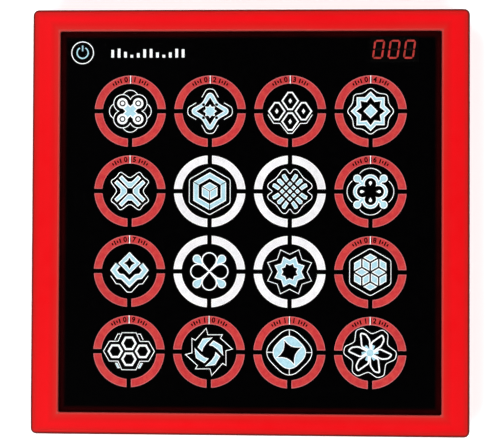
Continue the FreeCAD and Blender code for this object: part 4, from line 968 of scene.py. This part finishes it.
def stacked_diamonds(ink):
    """A small diamond ring over a wide chevron, with a fine line below."""
    chevron = mirrored((0, -5.9), (3.2, -2.7), (5.2, -2.4), (7.4, 0.4), (5.4, 3.0))
    ink.stroke("white", 0, chevron, 2.6)
    ink.stroke("blue", 1, chevron, 1.5)
    ink.stroke("white", 0, mirrored((1.0, -9.8), (4.4, -6.1), (6.2, -5.9), (8.7, -2.3)))
    diamond = repeated(4, [(2.6, 2.6), (1.2, 3.9), (0, 5.4), (-1.2, 3.9)])
    small = moved(rounded(diamond, 0.7), (0, 3.7))
    ink.fill("black", 2, offset(small, 0.6))
    ink.bordered(3, small)
    ink.hollow(5, moved(star(4, 3.2, 1.8), (0, 3.7)), moved(star(4, 2.6, 1.4), (0, 3.7)))


def four_petals(ink):
    """Four white loops that meet at the middle, with a blue drop in each corner between them."""
    for turn in turns(4, 45):
        ink.bordered(0, moved(moved(drop(4.3, 2.0), (0, 3.9)), turn=turn))
    for turn in turns(4):
        petal = moved(drop(5.3, 3.35), turn=turn)
        ink.hollow(2, offset(petal, 0.3), offset(petal, -0.3))


def ringed_star(ink):
    """An eight-pointed star ring in a fine star line."""
    ink.outline("white", 0, star(8, 11.0, 8.1, 22.5))
    ink.bordered(0, star(8, 7.6, 5.5, 22.5))
    ink.hollow(2, star(8, 4.5, 3.4, 22.5), star(8, 4.0, 2.9, 22.5))


def tumbling_blocks(ink):
    """Twelve equal diamonds that fill a hexagon, in a fine hexagon."""
    ink.outline("white", 0, rounded(polygon(6, 11.0), 1.2))
    side = 4.5
    east, west, north = polar(side, 30), polar(side, 150), polar(side, 90)
    wide = Vector((2 * east.x, 0))
    middle = Vector((0, 0))
    flat = [(north, east, west), (-2 * north, east, west)]
    flat += [((wide * way - north) / 2, east, west) for way in (-1, 1)]
    upper = [(-wide, east, north), (middle, north, west), (middle, east, north), (wide, north, west)]
    for corner, first, second in flat + upper:
        block = [corner, corner + first, corner + first + second, corner + second]
        ink.bordered(0, offset(block, -0.36))
        if (corner, first, second) in upper:
            ink.bordered(0, offset(flipped(block, 1, -1), -0.36))


def four_hexagons(ink):
    """Four hexagon rings of a honeycomb in a fine line, with short bars in the corners outside it."""
    side = 4.26
    for middle in ((0, side * 0.866), (0, -side * 0.866), (1.5 * side, 0), (-1.5 * side, 0)):
        ink.outline("white", 0, moved(polygon(6, 3.1, 0), middle), 0.92)
    upper = mirrored((3.3, 8.6), (5.1, 4.6), (9.2, 4.6), (11.9, 0))
    lower = flipped(upper[1:-1], 1, -1)
    ink.outline("white", 0, (upper + lower)[::-1])
    for way in (-1, 1):
        ink.stroke("white", 0, [(way * 6.6, 5.3), (way * 5.3, 8.0), (way * 4.0, 8.0)])
    block = path((6.6, -5.4), (5.4, -5.4), (4.1, -7.9), (5.3, -7.9))
    ink.bordered(0, block, 0.3)
    ink.bordered(0, flipped(block), 0.3)


def pinwheel(ink):
    """Four curved blades that turn round the middle, in a saw-toothed line of long and short teeth."""
    teeth = []
    for turn in turns(4, 7):
        teeth += [polar(11.0, turn), polar(8.3, turn + 43), polar(10.1, turn + 45), polar(7.9, turn + 87)]
    ink.outline("white", 0, teeth)
    blade = path((1.8, 6.7), (-2.9, 6.1), (-5.3, 2.1), (-3.1, 0.0), (-2.6, 1.9), (-1.0, 4.1))
    for turn in turns(4):
        ink.bordered(0, moved(blade, turn=turn))


def rounded_diamond(ink):
    """A blue rounded diamond with a black curved star in it, held by four short lines in a fine outline."""
    ink.outline("white", 0, rounded(polygon(4, 13.0), 7.2, steps=10))
    for turn in turns(4):
        ink.stroke("white", 0, [polar(7.4, turn), polar(10.24, turn)])
    ink.bordered(1, rounded(polygon(4, 9.9), 6.2, steps=10))
    sides = []
    for turn in turns(4, 113):
        for reach, angle in ((5.9, 0), (4.3, 8), (3.3, 22), (2.85, 45), (3.3, 68), (4.3, 82)):
            sides.append(polar(reach, turn + angle))
    ink.hollow(3, offset(sides, 0.4), sides)


def flower(ink):
    """Six leaning leaves that meet in a blue middle, in a line that follows them."""
    line = []
    for turn in turns(6, 56):
        line += [polar(8.7, turn - 31), polar(12.0, turn - 10), polar(12.3, turn + 6)]
    ink.outline("white", 0, rounded(line, 1.2))
    leaf = rounded(path((0.1, 0.9), (-0.2, 6.0), (-2.0, 8.6), (-4.4, 9.1), (-3.8, 2.9)), 0.9)
    for turn in turns(6):
        ink.stroke("blue", 0, moved([(0, 0.5), (-2.2, 3.2)], turn=turn), 1.3)
        ink.outline("white", 1, moved(leaf, turn=turn), 0.7)
    ink.fill("blue", 2, circle(1.6, 24))


FIGURES = (
    (four_rings, star_in_ring, four_diamonds, square_star),
    (four_chevrons, cube_in_hexagon, lattice, quatrefoil),
    (stacked_diamonds, four_petals, ringed_star, tumbling_blocks),
    (four_hexagons, pinwheel, rounded_diamond, flower),
)


def print_figures():
    """The sixteen figures, one in each touch circle."""
    ink = Print("figure", INKS, INK_FLOOR, INK_TOP)
    for row, figures in enumerate(FIGURES):
        for column, figure in enumerate(figures):
            ink.middle = circle_centre(row, column)
            figure(ink)
    ink.finish("case", "circle_figures")


POINTER_WIDTH = 0.4
BORDER_WIDTH = 0.4    # of the black line on each side of the pointer
BORDER_PLACE = 0.45   # from the pointer's middle to that line's
BORDER_LENGTH = 2.2
DIGIT_HEIGHT = 2.4
DIGIT_ANGLE = 8       # degrees from the pointer
TICKS = ((17.5, 2.0), (22.5, 1.2), (27.5, 2.0), (32.5, 1.2))  # degrees from the pointer, and length
TICK_WIDTH = 0.66


def print_one_ring(ink, number):
    """A two-digit number parted by a white pointer with black borders, between two scales of ticks."""
    middle = (RING_OUTER + RING_INNER) / 2 / MM

    def across_ring(from_middle, length):
        return [(from_middle, middle - length / 2), (from_middle, middle + length / 2)]

    ink.stroke("white", 3, [(0, RING_INNER / MM), (0, RING_OUTER / MM)], POINTER_WIDTH)
    for digit, angle in zip(f"{number:02d}", (DIGIT_ANGLE, -DIGIT_ANGLE)):
        ink.text("black", 3, digit, DIGIT_HEIGHT, polar(middle, 90 + angle), angle)
    for side in (-1, 1):
        ink.stroke("black", 2, across_ring(side * BORDER_PLACE, BORDER_LENGTH), BORDER_WIDTH)
        for angle, length in TICKS:
            ink.stroke("black", 2, moved(across_ring(0, length), turn=side * angle), TICK_WIDTH)


def print_ring_marks():
    """Numbers the red rings from 01, row by row."""
    ink = Print("ring_marks", INKS, INK_FLOOR, INK_TOP)
    places = [(row, column) for row in range(GRID) for column in range(GRID) if has_red_ring(row, column)]
    for number, place in enumerate(places, start=1):
        ink.middle = circle_centre(*place)
        print_one_ring(ink, number)
    ink.finish("case", "ring_pointers")


BADGE_PLACE = 5.4    # from the header's left end to the badge's middle
BADGE_RADIUS = 5.1
SYMBOL_RADIUS = 2.6
SYMBOL_WIDTH = 0.62
BARS = 12
FIRST_BAR = 13.5     # from the badge's middle to the first bar's left side
BAR_PITCH = 3.0
BAR_WIDTH = 1.3
BAR_FOOT = -2.3      # below the badge's middle
SHORTEST_BAR = 1.3
BAR_SWING = 3.0      # how much longer the longest is


def print_header():
    """A badge with a plain power symbol, and a row of level bars beside it that rise and fall in a wave."""
    ink = Print("header", INKS, INK_FLOOR, INK_TOP)
    low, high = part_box("header_marks")
    ink.middle = Vector((low.x + BADGE_PLACE * MM, (low.y + high.y) / 2))
    ink.outline("white", 2, circle(BADGE_RADIUS, 64), 0.44)
    ink.stroke("blue", 2, arc(SYMBOL_RADIUS, 120, 420, 36), SYMBOL_WIDTH)
    ink.stroke("blue", 2, [(0, 0.7), (0, 3.4)], SYMBOL_WIDTH)
    for i in range(BARS):
        left = FIRST_BAR + BAR_PITCH * i
        right = left + BAR_WIDTH
        top = BAR_FOOT + SHORTEST_BAR + BAR_SWING * (0.5 + 0.5 * math.sin(i * 1.3 + 0.6))
        ink.fill("white", 2, [(left, BAR_FOOT), (right, BAR_FOOT), (right, top), (left, top)])
    ink.finish("case", "header_marks")


MOULDED_RISE = 0.25 * MM  # how far the marks on the back stand out
WHOLE = INK_LEVELS - 1    # the level of a shape that rises all the way


def middle_of(node):
    """The middle of a CAD node, seen from above."""
    low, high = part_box(node)
    return (low.xy + high.xy) / 2


def moulding(name, node):
    """A Print for raised red marks under a CAD node."""
    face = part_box(node)[0].z
    return Print(name, {"red": "red_back"}, face, face - MOULDED_RISE)


def mould_back_marks():
    """Numbers for the power switch's places, a blank label frame, and an arrow on the battery door."""
    marks = moulding("back_marks", "rear_cover")
    marks.middle = middle_of("switch_knob")
    for digit, across in zip("012", (5.0, 0.0, -5.0)):
        marks.text("red", WHOLE, digit, 2.8, (across, 7.4))
    marks.middle = Vector((0, 0))
    marks.outline("red", WHOLE, rounded(path((24, -4), (24, 16), (-24, 16), (-24, -4)), 2.0), 0.6)
    marks.finish("case")
    arrow = moulding("door_arrow", "battery_door")
    arrow.middle = middle_of("door_screw")
    lower = path((-30.0, -0.8), (-25.0, -0.8), (-25.0, -2.6))
    arrow.fill("red", WHOLE, lower + [Vector((-20.5, 0))] + flipped(lower, 1, -1))
    arrow.finish("battery_door")


# ------------ camera, light and floor

CAMERA_PLACE = (0.0272, -0.0127, 0.6646)
CAMERA_TURN = (1.138, 2.397, 0.233)  # degrees about X, Y and Z, from looking straight down
LENS_LENGTH = 100                    # millimetres, and so is the sensor's width
SENSOR_WIDTH = 36

LAMP_SIZE = 0.5                       # metres, and so are the next two
LAMP_DISTANCE = 0.85                  # out from the middle of the toy
LAMP_HEIGHT = 1.25
LAMP_ENERGIES = (5.2, 7.3, 9.4, 7.3)  # watts, anticlockwise from the one at the back right

# Height in the sky, from 0 at the horizon to 1 straight up, and brightness there.
SKY = ((0.0, 0.95), (0.10, 0.80), (0.28, 0.22), (0.92, 0.0))
SKY_STRENGTH = 0.9

FLOOR_RADIUS = 6.0  # metres
FLOOR_GLOW = 0.6


def make_camera():
    """Almost straight down, as a product photograph of a flat toy, from slightly to its front and right."""
    lens = bpy.data.cameras.new("main_camera")
    lens.lens = LENS_LENGTH
    lens.sensor_width = SENSOR_WIDTH
    camera = add("main_camera", lens)
    camera.location = CAMERA_PLACE
    camera.rotation_euler = Euler([math.radians(angle) for angle in CAMERA_TURN])
    scene.camera = camera


def make_lights():
    """Four soft boxes in a ring high above, which leave the middle of the sky dark for the glass to mirror.

    The one at the front left is the strongest, and the one opposite is the weakest.
    """
    for i, energy in enumerate(LAMP_ENERGIES):
        light = bpy.data.lights.new(f"soft_box_{i + 1}", "AREA")
        light.shape = "SQUARE"
        light.size = LAMP_SIZE
        light.energy = energy
        lamp = add(light.name, light)
        lamp.location = (*polar(LAMP_DISTANCE, 45 + 90 * i), LAMP_HEIGHT)
        lamp.rotation_euler = (-Vector(lamp.location)).to_track_quat("-Z", "Y").to_euler()


def make_world():
    """A studio that is pale along the horizon and dark towards the top, for the glass to mirror."""
    world = bpy.data.worlds.new("studio")
    scene.world = world
    world.use_nodes = True
    tree = world.node_tree
    background = tree.nodes["Background"]
    direction = tree.nodes.new("ShaderNodeTexCoord").outputs["Generated"]
    split = tree.nodes.new("ShaderNodeSeparateXYZ")
    ramp = tree.nodes.new("ShaderNodeValToRGB")
    tree.links.new(direction, split.inputs[0])
    tree.links.new(split.outputs[2], ramp.inputs[0])
    shown = set_stops(ramp, [(height, (brightness,) * 3) for height, brightness in SKY])
    tree.links.new(shown, background.inputs["Color"])
    background.inputs["Strength"].default_value = SKY_STRENGTH


def make_floor():
    """A wide, plain, pale floor that the feet stand on. It glows a little, and more far away."""
    mesh = bmesh.new()
    bmesh.ops.create_circle(mesh, cap_ends=True, segments=96, radius=FLOOR_RADIUS)
    data = bpy.data.meshes.new("floor")
    mesh.to_mesh(data)
    mesh.free()
    floor = add("floor", data)
    floor.location.z = cad_box[0].z
    paint = Paint("floor_paper")
    colour = paint.mix(paint.drift(9.0, 3.0), (0.93, 0.93, 0.93), (0.91, 0.91, 0.91))
    away = paint.node("ShaderNodeVectorMath", {0: paint.place}, operation="LENGTH").outputs["Value"]
    glow = paint.mix(paint.fade(away, 0.8, 3.0), (0.7, 0.7, 0.7), (1.0, 1.0, 1.0))
    data.materials.append(paint.principled(
        colour, 0.85, specular=0.1, Emission_Color=glow, Emission_Strength=FLOOR_GLOW,
    ))


make_camera()
make_lights()
make_world()
make_floor()
finish_cad_nodes()
print_figures()
print_ring_marks()
print_header()
mould_back_marks()
